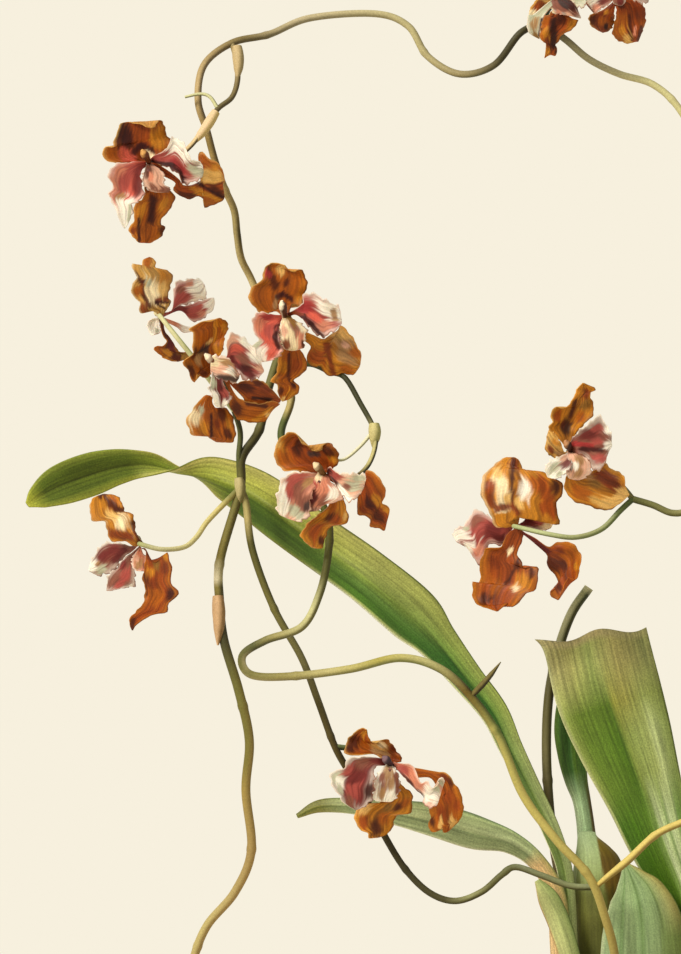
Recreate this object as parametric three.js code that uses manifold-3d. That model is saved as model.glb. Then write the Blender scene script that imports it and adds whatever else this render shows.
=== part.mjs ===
// Potted orchid, Oncidium superbiens: a clay pot filled with bark, two pseudobulbs on their
// rhizome, four leaves and three sheaths, the stub of a cut flower stem, and one long twining
// flower stem with eleven blooms.
// Millimetres, +Z up. The origin is the centre of the pot's foot, and -Y faces the viewer.

import * as THREE from "three";
import { mergeVertices } from "three/addons/utils/BufferGeometryUtils.js";
import Module from "manifold-3d";

// Driving dimensions of the pot and its filling
const potHeight = 125;
const rimRadius = 76;
const rimHeight = 24;
const bodyRadius = 69;
const footRadius = 50;
const potWall = 5;
const potFloor = 8;
const potSides = 28;
const potEdge = 2.5;
const drainHoles = 3;
const drainRadius = 5;
const drainCircle = 24;
const holeSides = 10;
const compostTop = 113;
const barkRelief = 3.2;
const barkLevel = 0.6;
const crownRadius = 44;

// Driving dimensions of the plant
const gap = 0.3;
const stemHoleGap = 1.5;
const leafThickness = 1.2;
const sheathThickness = 0.9;
const petalThickness = 0.8;
const clawHalfWidth = 1.5;
const hubRadius = 2.8;
const hubDepth = 3;
const columnLength = 9.5;
const stemSides = 5;
const stemRingsPerSpan = 1.1;

const wasm = await Module();
wasm.setup();

const radians = THREE.MathUtils.degToRad;
const vector = ([x, y, z]) => new THREE.Vector3(x, y, z);
const curveThrough = (points) => new THREE.CatmullRomCurve3(points.map(vector), false, "catmullrom", 0.5);

// Solids: closed meshes go to manifold solids for joining and cutting, and come back as geometry.

function solidOf(geometry) {
  const plain = new THREE.BufferGeometry();
  plain.setAttribute("position", geometry.getAttribute("position"));
  plain.setIndex(geometry.index);
  const merged = mergeVertices(plain, 1e-4);
  return new wasm.Manifold(
    new wasm.Mesh({
      numProp: 3,
      vertProperties: merged.attributes.position.array,
      triVerts: new Uint32Array(merged.index.array),
    }),
  );
}

function geometryOf(solid) {
  const mesh = solid.getMesh();
  const geometry = new THREE.BufferGeometry();
  geometry.setAttribute("position", new THREE.BufferAttribute(mesh.vertProperties, 3));
  geometry.setIndex(new THREE.BufferAttribute(mesh.triVerts, 1));
  geometry.computeVertexNormals();
  return geometry;
}

function join(solids) {
  return solids.reduce((whole, piece) => whole.add(piece));
}

// A cut can leave loose scraps, so only the main body is kept.
function largestBody(solid) {
  return solid.decompose().reduce((best, body) => (body.volume() > best.volume() ? body : best));
}

// A closed skin over a row of rings with equal point counts, with a fan over each end.
function loft(rings) {
  const sides = rings[0].length;
  const centreOf = (ring) => ring.reduce((sum, p) => sum.add(p), new THREE.Vector3()).divideScalar(sides);
  const points = [...rings.flat(), centreOf(rings[0]), centreOf(rings.at(-1))];
  const start = rings.length * sides;
  const lastRing = start - sides;
  const index = [];
  for (let side = 0; side < sides; side++) {
    const next = (side + 1) % sides;
    index.push(start, next, side);
    index.push(start + 1, lastRing + side, lastRing + next);
    for (let row = 0; row < lastRing; row += sides) {
      index.push(row + side, row + next, row + next + sides);
      index.push(row + side, row + next + sides, row + side + sides);
    }
  }
  const geometry = new THREE.BufferGeometry().setFromPoints(points);
  geometry.setIndex(index);
  return solidOf(geometry);
}

function ringAround(centre, across, up, halfAcross, halfUp, sides) {
  return Array.from({ length: sides }, (_, side) => {
    const angle = (2 * Math.PI * side) / sides;
    return centre
      .clone()
      .addScaledVector(across, halfAcross * Math.cos(angle))
      .addScaledVector(up, halfUp * Math.sin(angle));
  });
}

// A round tapering stem through hand-chosen points, its rings turned as little as possible.
function stem(points, startRadius, endRadius, sides = stemSides) {
  const curve = curveThrough(points);
  const steps = Math.round((points.length - 1) * stemRingsPerSpan);
  const across = new THREE.Vector3(0, -1, 0.01);
  const rings = [];
  for (let step = 0; step <= steps; step++) {
    const part = step / steps;
    const tangent = curve.getTangent(part);
    across.addScaledVector(tangent, -across.dot(tangent)).normalize();
    const up = tangent.clone().cross(across);
    const radius = THREE.MathUtils.lerp(startRadius, endRadius, part);
    rings.push(ringAround(curve.getPoint(part), across, up, radius, radius, sides));
  }
  return loft(rings);
}

// A straight body of round section: profile gives [share of the length, radius] pairs.
function spindle(from, to, profile, sides) {
  const axis = to.clone().sub(from);
  const along = axis.clone().normalize();
  const across = new THREE.Vector3(along.y, along.z, along.x).cross(along).normalize();
  const up = along.clone().cross(across);
  return loft(
    profile.map(([share, radius]) =>
      ringAround(from.clone().addScaledVector(axis, share), across, up, radius, radius, sides),
    ),
  );
}

// A thin sheet over surface(u, v), split alike on both faces so that they stay parallel.
function sheet(surface, uValues, vValues, thickness) {
  const rows = uValues.length;
  const columns = vValues.length;
  const grid = uValues.map((u) => vValues.map((v) => surface(u, v)));
  const front = [];
  const back = [];
  for (let row = 0; row < rows; row++)
    for (let column = 0; column < columns; column++) {
      const ahead = grid[Math.min(row + 1, rows - 1)][column];
      const behind = grid[Math.max(row - 1, 0)][column];
      const right = grid[row][Math.min(column + 1, columns - 1)];
      const left = grid[row][Math.max(column - 1, 0)];
      const normal = ahead.clone().sub(behind).cross(right.clone().sub(left)).normalize();
      front.push(grid[row][column].clone().addScaledVector(normal, thickness / 2));
      back.push(grid[row][column].clone().addScaledVector(normal, -thickness / 2));
    }
  const other = rows * columns;
  const at = (row, column) => row * columns + column;
  const index = [];
  for (let row = 0; row < rows - 1; row++)
    for (let column = 0; column < columns - 1; column++) {
      const [a, b] = [at(row, column), at(row + 1, column)];
      const [c, d] = [at(row + 1, column + 1), at(row, column + 1)];
      index.push(a, b, c, a, c, d);
      index.push(other + a, other + c, other + b, other + a, other + d, other + c);
    }
  const border = [];
  for (let row = 0; row < rows - 1; row++) border.push(at(row, 0));
  for (let column = 0; column < columns - 1; column++) border.push(at(rows - 1, column));
  for (let row = rows - 1; row > 0; row--) border.push(at(row, columns - 1));
  for (let column = columns - 1; column > 0; column--) border.push(at(0, column));
  border.forEach((p, place) => {
    const q = border[(place + 1) % border.length];
    index.push(q, p, other + p, q, other + p, other + q);
  });
  const geometry = new THREE.BufferGeometry().setFromPoints([...front, ...back]);
  geometry.setIndex(index);
  return solidOf(geometry);
}

const evenValues = (from, to, count) =>
  Array.from({ length: count + 1 }, (_, place) => from + ((to - from) * place) / count);

// The same small draw each time, for the uneven bark.
function drawFrom(seed) {
  let state = seed;
  return () => {
    state = (state * 16807) % 2147483647;
    return state / 2147483647;
  };
}

// Scene graph

const plant = new THREE.Group();
plant.name = "potted_oncidium_superbiens";

function addNode(name, solid, colour, roughness, parent = plant) {
  const material = new THREE.MeshStandardMaterial({ color: colour, roughness, metalness: 0 });
  const mesh = new THREE.Mesh(geometryOf(solid), material);
  mesh.name = name;
  parent.add(mesh);
}

// Pot: plain round clay, with a band round its mouth and three drain holes beside the centre.

function innerRadiusAt(height) {
  const share = (height - potFloor) / (potHeight - potFloor);
  return THREE.MathUtils.lerp(footRadius - potWall, bodyRadius - potWall + 1, share);
}

function makePot() {
  const bandFoot = potHeight - rimHeight;
  const profile = [
    [0, 0],
    [footRadius - potEdge, 0],
    [footRadius, potEdge],
    [bodyRadius, bandFoot],
    [rimRadius - potEdge, bandFoot],
    [rimRadius, bandFoot + potEdge],
    [rimRadius, potHeight - potEdge],
    [rimRadius - potEdge, potHeight],
    [innerRadiusAt(potHeight) + potEdge, potHeight],
    [innerRadiusAt(potHeight - potEdge), potHeight - potEdge],
    [innerRadiusAt(potFloor), potFloor],
    [0, potFloor],
  ];
  const turned = new THREE.LatheGeometry(
    profile.map(([radius, height]) => new THREE.Vector2(radius, height)),
    potSides,
  );
  turned.rotateX(Math.PI / 2);
  let pot = solidOf(turned);
  for (let hole = 0; hole < drainHoles; hole++) {
    const angle = (2 * Math.PI * hole) / drainHoles;
    const drill = new THREE.CylinderGeometry(drainRadius, drainRadius, potFloor * 3, holeSides);
    drill.rotateX(Math.PI / 2);
    drill.translate(drainCircle * Math.cos(angle), drainCircle * Math.sin(angle), 0);
    pot = pot.subtract(solidOf(drill));
  }
  return pot;
}

// Pseudobulbs: the flattened swollen stems, with the rhizome they stand on and its white roots.
// Each row is height, centre x, centre y, half-width and half-depth.

const frontBulb = [
  [100, -8, 0, 8, 6],
  [113, -8, 0, 12, 9],
  [135, -9, 0, 13.5, 11],
  [165, -10, 0, 13.8, 10.5],
  [180, -10.5, 0, 13.2, 9.5],
  [190, -11, 0.5, 11.5, 8],
  [196, -13, 1, 8.5, 6.5],
  [201, -16, 1.5, 4.8, 4],
];
const rearBulb = [
  [100, 44, 17, 8, 6],
  [113, 44, 17, 12, 9],
  [130, 44, 17, 13, 10],
  [150, 44, 17, 11.5, 9],
  [166, 44, 17, 8, 6.5],
  [175, 44, 17, 3.5, 3],
];
const rhizome = [
  [-4, 3, 116],
  [10, 10, 118],
  [24, 14, 118],
  [40, 16, 117],
];
const roots = [
  [[-14, 4, 118], [-26, 16, 119], [-33, 30, 117.5], [-39, 44, 118]],
  [[44, 20, 118], [46, 32, 119.5], [38, 42, 118], [29, 50, 117.5]],
  [[48, 12, 118], [57, 2, 118.5], [55, -14, 119], [46, -28, 118], [38, -40, 117]],
  [[22, 14, 118], [21, 28, 119.5], [10, 40, 118], [-6, 46, 118], [-12, 56, 117.5]],
];
const bulbSides = 10;
const rhizomeRadius = 3.6;
const rhizomeSides = 8;
const rootRadius = 1.7;
const rootTipRadius = 1.2;

function bulb(rows, extra = 0) {
  const across = new THREE.Vector3(1, 0, 0);
  const up = new THREE.Vector3(0, 1, 0);
  return loft(
    rows.map(([height, x, y, halfWidth, halfDepth]) => {
      const centre = new THREE.Vector3(x, y, height);
      return ringAround(centre, across, up, halfWidth + extra, halfDepth + extra, bulbSides);
    }),
  );
}

function makePseudobulbs() {
  const rootStems = roots.map((route) => stem(route, rootRadius, rootTipRadius));
  const rhizomeStem = stem(rhizome, rhizomeRadius, rhizomeRadius, rhizomeSides);
  return join([bulb(frontBulb), bulb(rearBulb), rhizomeStem, ...rootStems]);
}

// Leaves and sheaths. Each row is a station of the midrib: x, y, z, half-width across,
// roll about the midrib and fold along it (a negative fold brings the midrib forwards), in degrees.

const leafLong = [
  [-24, -13, 113.6, 6, 0, -50],
  [-25, -14, 150, 6, 0, -50],
  [-27, -15, 182, 5.5, 0, -48],
  [-34, -17, 204, 6.2, 0, -45],
  [-44.5, -20, 226, 7.5, 0, -42],
  [-54.5, -23, 246, 8.8, 0, -40],
  [-63, -25, 264, 9.8, 0, -38],
  [-77, -27, 280.5, 10.8, 0, -36],
  [-91.5, -28, 298.5, 13, 0, -35],
  [-104, -27, 313, 17, 0, -35],
  [-127.5, -23, 332.5, 16.5, 0, -35],
  [-155, -13, 351, 15.5, 0, -35],
  [-181, 0, 369, 14, 0, -35],
  [-203, 8, 379, 10, 25, -30],
  [-222, 12, 383.5, 6.5, 95, -25],
  [-238, 11, 387.5, 7, 170, -20],
  [-252, 8, 386.5, 9.5, 180, -20],
  [-266, 3, 382.5, 11.5, 180, -20],
  [-281, -5, 377, 10.5, 180, -15],
  [-291, -10, 371.5, 6.5, 180, -12],
  [-296.5, -12, 367.5, 1.5, 180, -10],
];
const leafBroad = [
  [44, -8, 113.6, 13, 0, -55],
  [40, -12, 145, 14, 0, -50],
  [31, -15, 172.5, 17, 0, -45],
  [21, -18, 197.5, 21, 0, -40],
  [12.5, -20, 222.5, 25, 0, -38],
  [2.5, -20, 250, 28.5, 0, -32],
  [-6, -18, 275, 30, 0, -28],
  [-12.5, -14, 303.5, 28.5, 0, -25],
];
const leafNarrow = [
  [-15.5, 2, 201.9, 4, 0, -50],
  [-17.3, 3, 215, 3.8, 0, -50],
  [-17.8, 4, 229, 5, 0, -42],
  [-20, 6, 245, 8.5, 0, -35],
  [-23.5, 9, 262, 10, 0, -30],
  [-20, 12, 278, 8.5, 0, -25],
  [-15, 14, 291, 5, 0, -20],
  [-10, 15, 297.5, 1.2, 0, -20],
];
const leafShort = [
  [-28.5, -19.5, 113.6, 6, 0, -40],
  [-30, -20, 150, 6.5, 0, -40],
  [-32, -21, 172.5, 6, 0, -40],
  [-41.5, -24, 189, 5.5, 0, -38],
  [-55, -29, 199, 7, 0, -35],
  [-72.5, -33, 204, 10, 0, -32],
  [-92.5, -34, 210, 9.5, 0, -30],
  [-112.5, -32, 214, 7, 0, -28],
  [-132.5, -28, 217, 4.5, 0, -26],
  [-150, -24, 217, 3.5, 0, -25],
  [-161.5, -22, 212, 1.2, 0, -25],
];
const sheathLeft = [
  [-19, -25, 113.6, 8, 0, -35],
  [-22, -26, 140, 8.5, 0, -35],
  [-30.5, -26, 160, 7.5, 0, -35],
  [-40.5, -25.5, 178, 1.5, 0, -30],
];
const sheathRight = [
  [15.5, -27, 113.4, 22.5, 0, -30],
  [15, -28, 140, 22.5, 0, -30],
  [14, -28, 160, 20, 0, -28],
  [10, -27, 175, 14, 0, -25],
  [3, -26, 188.5, 2.5, 0, -25],
];
const sheathOld = [
  [-2, 24, 113.8, 8, 0, 20],
  [-3, 21, 150, 8, 0, 20],
  [-5, 16, 175, 5.5, 0, 20],
  [-8, 13, 190, 1.5, 0, 20],
];
const cutEdgeWave = 1.8;
const cutSlant = 2.3;
const cutBow = 1.3;
const cutCornerFlare = 3;

// The blade at u along the midrib and v from -1, its left edge, to 1.
function bladeSurface(stations, cutAcross = false) {
  const midrib = curveThrough(stations.map((station) => station.slice(0, 3)));
  const section = curveThrough(stations.map((station) => station.slice(3)));
  return (u, v) => {
    const tangent = midrib.getTangent(u);
    const forwards = new THREE.Vector3(0, -1, 0);
    forwards.addScaledVector(tangent, -forwards.dot(tangent)).normalize();
    const across = tangent.clone().cross(forwards);
    const { x: halfWidth, y: rollDegrees, z: foldDegrees } = section.getPoint(u);
    forwards.applyAxisAngle(tangent, radians(-rollDegrees));
    across.applyAxisAngle(tangent, radians(-rollDegrees));
    const fold = radians(foldDegrees);
    const place = midrib.getPoint(u);
    place.addScaledVector(across, halfWidth * v * Math.cos(fold));
    place.addScaledVector(forwards, halfWidth * Math.abs(v) * Math.sin(fold));
    if (cutAcross) {
      const nearCut = u ** 12;
      const rise = cutEdgeWave * Math.sin(5 * v + 1) - cutSlant * v + cutBow * v * v;
      place.addScaledVector(tangent, nearCut * rise);
      if (v < 0) place.addScaledVector(across, u ** 60 * cutCornerFlare * v ** 3);
    }
    return place;
  };
}

function blade(stations, stepsAlong, stepsAcross, thickness, cutAcross) {
  const along = evenValues(0, 1, stepsAlong);
  const across = evenValues(-1, 1, stepsAcross);
  return sheet(bladeSurface(stations, cutAcross), along, across, thickness);
}

// Blooms. An organ is a sepal, petal or lip: a narrow claw, then a blade. Seen from the front,
// angle is its direction (90 is up), sweep the turn of its blade to the left, and left and right
// are the half-widths at four even stations of the blade, the last at its tip. foot, tip and arch
// are how far the blade's ends and middle stand forwards, tilt brings its left margin forwards,
// cup and wave raise both margins, and notch is the dip in its tip. All but the angles in mm.

const upperSepal = {
  claw: 7, length: 22, left: [13, 15, 13, 7], right: [13, 15, 13, 7], sweep: 0,
  foot: -1, tip: 2, arch: -3, tilt: 0, cup: 2.5, wave: 1.8, waves: 1.6, phase: 0.1, notch: 1,
};
const sideSepal = {
  claw: 11, length: 24, left: [9, 11, 9, 5], right: [9, 11, 9, 5], sweep: 0,
  foot: 0, tip: -5, arch: 3, tilt: 0, cup: -2, wave: 1.6, waves: 1.4, phase: 0.3, notch: 0.5,
};
const petal = {
  claw: 5, length: 20, left: [8, 10, 9, 6], right: [8, 10, 9, 6], sweep: 0,
  foot: 3, tip: 3, arch: 3, tilt: 0, cup: 2, wave: 1.8, waves: 2, phase: 0.6, notch: 0,
};
const lip = {
  claw: 3, length: 14, left: [4, 5, 4.5, 3], right: [4, 5, 4.5, 3], sweep: 0,
  foot: 3, tip: 0, arch: 4, tilt: 0, cup: -1.5, wave: 0.5, waves: 1, phase: 0, notch: 0,
};
const organ = (kind) => (angle, claw, length, left, right, change = {}) => ({
  ...kind, angle, claw, length, left, right, ...change,
});
const upper = organ(upperSepal);
const side = organ(sideSepal);
const inner = organ(petal);
const tongue = (angle, change = {}) => ({ ...lip, angle, ...change });

// Each bloom: where its centre is, the way it faces (yaw to the viewer's right, pitch up, in
// degrees, back when it is seen from behind), its three sepals, the upper one first, its two
// petals and its lip. Angles and lengths are those that the viewer sees.
const blooms = [
  {
    at: [-235.3, -35, 538.5], yaw: 10, pitch: 0,
    sepals: [
      upper(99, 5, 16, [19, 17, 13.5, 9], [8, 10.5, 11.5, 9.5], { notch: 1.8 }),
      side(267, 12, 26, [12.5, 8.7, 9, 4], [3, 7, 9.3, 4.5]),
      side(346, 17, 22, [9, 14, 11, 6], [11, 12, 10, 5]),
    ],
    petals: [
      inner(214, 4, 21, [9, 12, 12, 7], [8, 11, 10, 6]),
      inner(12, 5, 21, [9, 12, 10, 5], [6, 9, 9, 6]),
    ],
    lip: tongue(310),
  },
  {
    at: [-229.4, -30, 461.3], yaw: 38, pitch: 10, back: true,
    sepals: [
      upper(103, 4, 26, [9, 11, 10, 5], [8, 9, 9, 5]),
      side(262, 8, 15, [11, 11, 6, 2], [4, 8, 8, 3]),
      side(302, 14, 18, [5, 6, 5, 2], [4, 6, 6, 3], { foot: 3 }),
    ],
    petals: [
      inner(28, 6, 21, [7, 10, 9, 5], [6, 10, 9, 5], { foot: 6, tip: 8 }),
      inner(232, 3, 9, [4, 5, 5, 3], [4, 5, 5, 3]),
    ],
    lip: tongue(330, { length: 11 }),
  },
  {
    at: [-199, -78, 434], yaw: 22, pitch: -8,
    sepals: [
      upper(104, 7, 19, [13, 12, 10, 6], [8, 9, 8, 6], { notch: 3 }),
      side(257, 11, 25, [6, 10, 12, 8], [5, 12, 11, 4]),
      side(321, 10, 25, [9, 11, 12, 8], [9, 13, 13, 8]),
    ],
    petals: [
      inner(228, 3, 16, [8, 9, 8, 5], [7, 9, 9, 5]),
      inner(42, 3, 19, [8, 9, 8, 5], [9, 14, 14, 8]),
    ],
    lip: tongue(325, { length: 12 }),
  },
  {
    at: [-167.5, -45, 460.3], yaw: 5, pitch: 0,
    sepals: [
      upper(97, 6, 22, [17, 14, 9.5, 4], [11, 11.5, 9, 3], { notch: 0 }),
      side(273, 14, 26, [10, 5.5, 6.5, 2.5], [4, 6, 7, 2.5]),
      side(329, 14, 28, [9, 12, 11, 6], [11, 12.5, 11, 6]),
    ],
    petals: [
      inner(222, 4, 21, [8, 12, 12, 8], [7, 10, 10, 6]),
      inner(10, 6, 23, [11, 11, 8, 5], [7, 9, 9, 6]),
    ],
    lip: tongue(290, { left: [4, 6.5, 6, 3] }),
  },
  {
    at: [-147.5, -82, 382], yaw: -5, pitch: -10,
    sepals: [
      upper(118, 6, 21, [13, 18, 17, 9], [10.5, 2.5, -1, 0]),
      side(290, 12, 27, [5, 6, 6, 5], [5, 5.5, 6, 5], { sweep: -80 }),
      side(336, 17, 13, [11, 13, 11, 7], [12, 16, 14, 8]),
    ],
    petals: [
      inner(214, 5, 23, [9, 12, 12, 8], [8, 11, 11, 7]),
      inner(350, 3, 17, [7, 7, 5, 3], [6, 9, 9, 6]),
    ],
    lip: tongue(300, { length: 12 }),
  },
  {
    at: [-239.2, -38, 348], yaw: -38, pitch: -12, back: true,
    sepals: [
      upper(138, 8, 23, [7, 8.3, 8, 6], [8, 10.5, 9, 6]),
      side(290, 12, 30, [9, 8, 5, 2], [4, 5, 4, 1], { sweep: -45 }),
      side(310, 9, 22, [8, 6, 7, 4], [4, 6, 5, 3], { foot: 4 }),
    ],
    petals: [
      inner(191, 6, 19, [6, 7.5, 7, 4], [5, 7, 7, 4], { foot: 5, tip: 6 }),
      inner(225, 7, 21, [7, 9.5, 9, 6], [6, 8, 8, 5], { foot: 5, tip: 4 }),
    ],
    lip: tongue(243, { length: 12, left: [3, 4, 4, 2], right: [3, 4, 4, 2] }),
  },
  {
    at: [-114.2, -60, 238], yaw: 0, pitch: -10,
    sepals: [
      upper(118, 3, 21, [6, 16, 14, 7], [6, 3, -2.5, -4]),
      side(256, 16, 21, [13, 11, 8, 5], [8, 10, 8, 5]),
      side(327, 19, 23, [10, 9, 7, 3], [4, 8, 15, 10]),
    ],
    petals: [
      inner(203, 6, 22, [9, 14, 13, 8], [8, 11, 11, 6]),
      inner(333, 3, 23, [4, 2.5, 3, 4], [5, 10, 12, 5]),
    ],
    lip: tongue(260, { claw: 2, length: 17, left: [5, 6, 6, 5], right: [5, 6, 6, 4] }),
  },
  {
    at: [-52.1, -35, 356.7], yaw: -10, pitch: 0, back: true,
    sepals: [
      upper(92, 7, 26, [15, 17, 15, 8], [20, 23, 15, 2]),
      side(260, 9, 31, [4, 12, 14, 7], [15, 17, 17, 6]),
      side(322, 18, 22, [8, 10, 8, 2], [5, 4, 4, 3], { sweep: -50 }),
    ],
    petals: [
      inner(188, 4, 21, [6, 12, 14, 9], [6, 8, 8, 5]),
      inner(25, 4, 14, [4, 5, 4, 2], [3, 4, 4, 2]),
    ],
    lip: tongue(285),
  },
  {
    at: [-25, -52, 394], yaw: 12, pitch: 0,
    sepals: [
      upper(79, 6, 28, [13.5, 13, 5.5, 3], [1.5, 6.5, 6, 3]),
      side(187, 5, 10, [4, 5, 5, 3], [5, 6, 6, 3]),
      side(307, 7, 26, [12, 14, 12, 7], [12, 16, 10, 4], { tip: -1 }),
    ],
    petals: [
      inner(10, 2, 20, [6, 13, 12, 6], [4, 8, 9, 6], { foot: 2 }),
      inner(216, 3, 12, [5, 6, 5, 3], [5, 6, 5, 3]),
    ],
    lip: tongue(275, { length: 11 }),
  },
  {
    at: [-30.7, -30, 620], yaw: -10, pitch: 0,
    sepals: [
      upper(95, 7, 20, [12, 13, 11, 6], [10, 10, 9, 5]),
      side(262, 8, 21, [11, 4, 3, 2.5], [7, 6.5, 4.5, 3]),
      side(195, 5, 10, [4, 4, 4, 3], [4, 5, 5, 3]),
    ],
    petals: [
      inner(227, 6, 13, [4, 5, 5, 3], [4, 5, 5, 3]),
      inner(20, 3, 12, [6, 7, 6, 4], [6, 7, 6, 4]),
    ],
    lip: tongue(300, { length: 10 }),
  },
  {
    at: [-2.4, -25, 621], yaw: 10, pitch: 0,
    sepals: [
      upper(88, 7, 20, [10, 11, 10, 6], [12, 13, 11, 6]),
      side(237, 4, 14, [4, 5, 5, 3], [4, 6, 6, 3]),
      side(288, 5, 19, [10, 13, 12, 5], [5, 6, 6, 4]),
    ],
    petals: [
      inner(197, 4, 10, [5, 6, 6, 4], [5, 6, 6, 4]),
      inner(15, 5, 18, [8, 9, 8, 5], [8, 9, 8, 5]),
    ],
    lip: tongue(270, { length: 9 }),
  },
];
const bloomName = (place) => "bloom_" + String(place + 1).padStart(2, "0");

const straightStalk = 8;

// The flower stalk's last two points, straight behind the bloom.
function behindBloom(bloom) {
  const [x, y, z] = bloom.at;
  const away = bloom.back ? -1 : 1;
  return [hubDepth + straightStalk, hubDepth + gap].map((depth) => [x, y + away * depth, z]);
}

// The half-width at share t of the blade, smooth through its four stations from the claw's own.
function widthCurve(stations) {
  const curve = new THREE.SplineCurve(
    [clawHalfWidth, ...stations].map((width, place) => new THREE.Vector2(place, width)),
  );
  return (t) => curve.getPoint(t).y;
}

// A blade waves fully once it is this wide, its two margins wave apart by this share of a wave,
// and it leans with the bloom from the hub outwards, over this distance.
const fullyWavedWidth = 16;
const marginShift = 0.4;
const marginSteepness = 1.4;
const leanRun = 5;

// The organ's surface in the bloom's frame: x right, y up, z forwards.
function organSurface(shape, height, bloom) {
  const leftWidth = widthCurve(shape.left);
  const rightWidth = widthCurve(shape.right);
  const slope = new THREE.Vector2(Math.tan(radians(bloom.yaw)), Math.tan(radians(bloom.pitch)));
  return (distance, v) => {
    const t = Math.max(0, (distance - shape.claw) / shape.length);
    const start = radians(shape.angle);
    const turned = start + radians(shape.sweep) * t;
    const mean = start + (radians(shape.sweep) * t) / 2;
    const clawRun = Math.min(distance, shape.claw);
    const bladeRun = shape.length * t;
    const place = new THREE.Vector2(Math.cos(start), Math.sin(start)).multiplyScalar(clawRun);
    place.add(new THREE.Vector2(Math.cos(mean), Math.sin(mean)).multiplyScalar(bladeRun));

    const shift = shape.phase + (v > 0 ? marginShift : 0);
    const ripple = Math.sin(2 * Math.PI * (shape.waves * t + shift));
    const [left, right] = [leftWidth(t), rightWidth(t)];
    const offset = THREE.MathUtils.lerp(-right, left, (v + 1) / 2);
    const across = new THREE.Vector2(-Math.sin(turned), Math.cos(turned));
    place.addScaledVector(across, offset);
    const along = new THREE.Vector2(Math.cos(turned), Math.sin(turned));
    place.addScaledVector(along, t ** 3 * (2 * (1 - v * v) - shape.notch * 2 * (1 - Math.abs(v)) ** 2));

    const open = Math.min(1, (left + right) / fullyWavedWidth) * Math.min(1, 4 * t);
    const ends = shape.foot * (clawRun / shape.claw) * (1 - t) + shape.tip * t;
    const rise = ends + shape.arch * 4 * t * (1 - t);
    const waved = shape.wave * Math.abs(v) ** marginSteepness * ripple;
    const margin = open * (shape.tilt * v + shape.cup * v * v + waved);
    const outside = Math.min(1, Math.max(0, (place.length() - hubRadius) / leanRun));
    const lean = outside * place.dot(slope);
    return new THREE.Vector3(place.x, place.y, height + rise + margin - lean);
  };
}

function makeOrgan(shape, height, bloom, [bladeSteps, acrossSteps], thickness) {
  const bladeValues = evenValues(0, Math.PI, bladeSteps).map(
    (angle) => shape.claw + (shape.length * (1 - Math.cos(angle))) / 2,
  );
  const surface = organSurface(shape, height, bloom);
  return sheet(surface, [0, ...bladeValues], evenValues(-1, 1, acrossSteps), thickness);
}

const hubSides = 6;

function hub(from, to) {
  const disc = new THREE.CylinderGeometry(hubRadius, hubRadius, to - from, hubSides);
  disc.rotateX(Math.PI / 2);
  disc.translate(0, 0, (from + to) / 2);
  return solidOf(disc);
}

const sepalHeight = -1.5;
const petalHeight = 1.7;
const petalHubStart = gap + 0.05;
const columnForwards = 1.2;
const columnProfile = [
  [0, 1.7],
  [0.6, 1.6],
  [0.85, 2.4],
  [1, 1.2],
];
const columnSides = 5;

// Steps along the blade and across it
const sepalSteps = [5, 4];
const petalSteps = [4, 4];
const lipSteps = [3, 2];

// A bloom seen from behind is turned over, so its organs lie the other way round.
function turnedOver(shape) {
  return { ...shape, angle: 180 - shape.angle, left: shape.right, right: shape.left, sweep: -shape.sweep };
}

function facingBloom(bloom) {
  if (!bloom.back) return bloom;
  return {
    ...bloom,
    pitch: -bloom.pitch,
    sepals: bloom.sepals.map(turnedOver),
    petals: bloom.petals.map(turnedOver),
    lip: turnedOver(bloom.lip),
  };
}

function makeSepals(bloom, thickness) {
  const sheets = bloom.sepals.map((shape) => makeOrgan(shape, sepalHeight, bloom, sepalSteps, thickness));
  return join([hub(-hubDepth, 0), ...sheets]);
}

// Petals, lip and column stand on a hub of their own, just in front of the sepals.
function makePetals(bloom) {
  const grow = (shape, steps) => makeOrgan(shape, petalHeight, bloom, steps, petalThickness);
  const petals = bloom.petals.map((shape) => grow(shape, petalSteps));
  const lipSheet = grow(bloom.lip, lipSteps);
  const upwards = radians(bloom.sepals[0].angle);
  const from = new THREE.Vector3(0, 0, petalHeight);
  const lean = new THREE.Vector3(Math.cos(upwards), Math.sin(upwards), columnForwards).normalize();
  const to = from.clone().addScaledVector(lean, columnLength);
  const column = spindle(from, to, columnProfile, columnSides);
  const whole = join([hub(petalHubStart, hubDepth), column, lipSheet, ...petals]);
  return largestBody(whole.subtract(makeSepals(bloom, petalThickness + 2 * gap)));
}

// Flower stem: one fused body of the main stem, its branches, the stalk of each bloom, bracts
// and buds. Routes are centre lines. A branch starts on the centre line of the stem it leaves.

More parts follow.
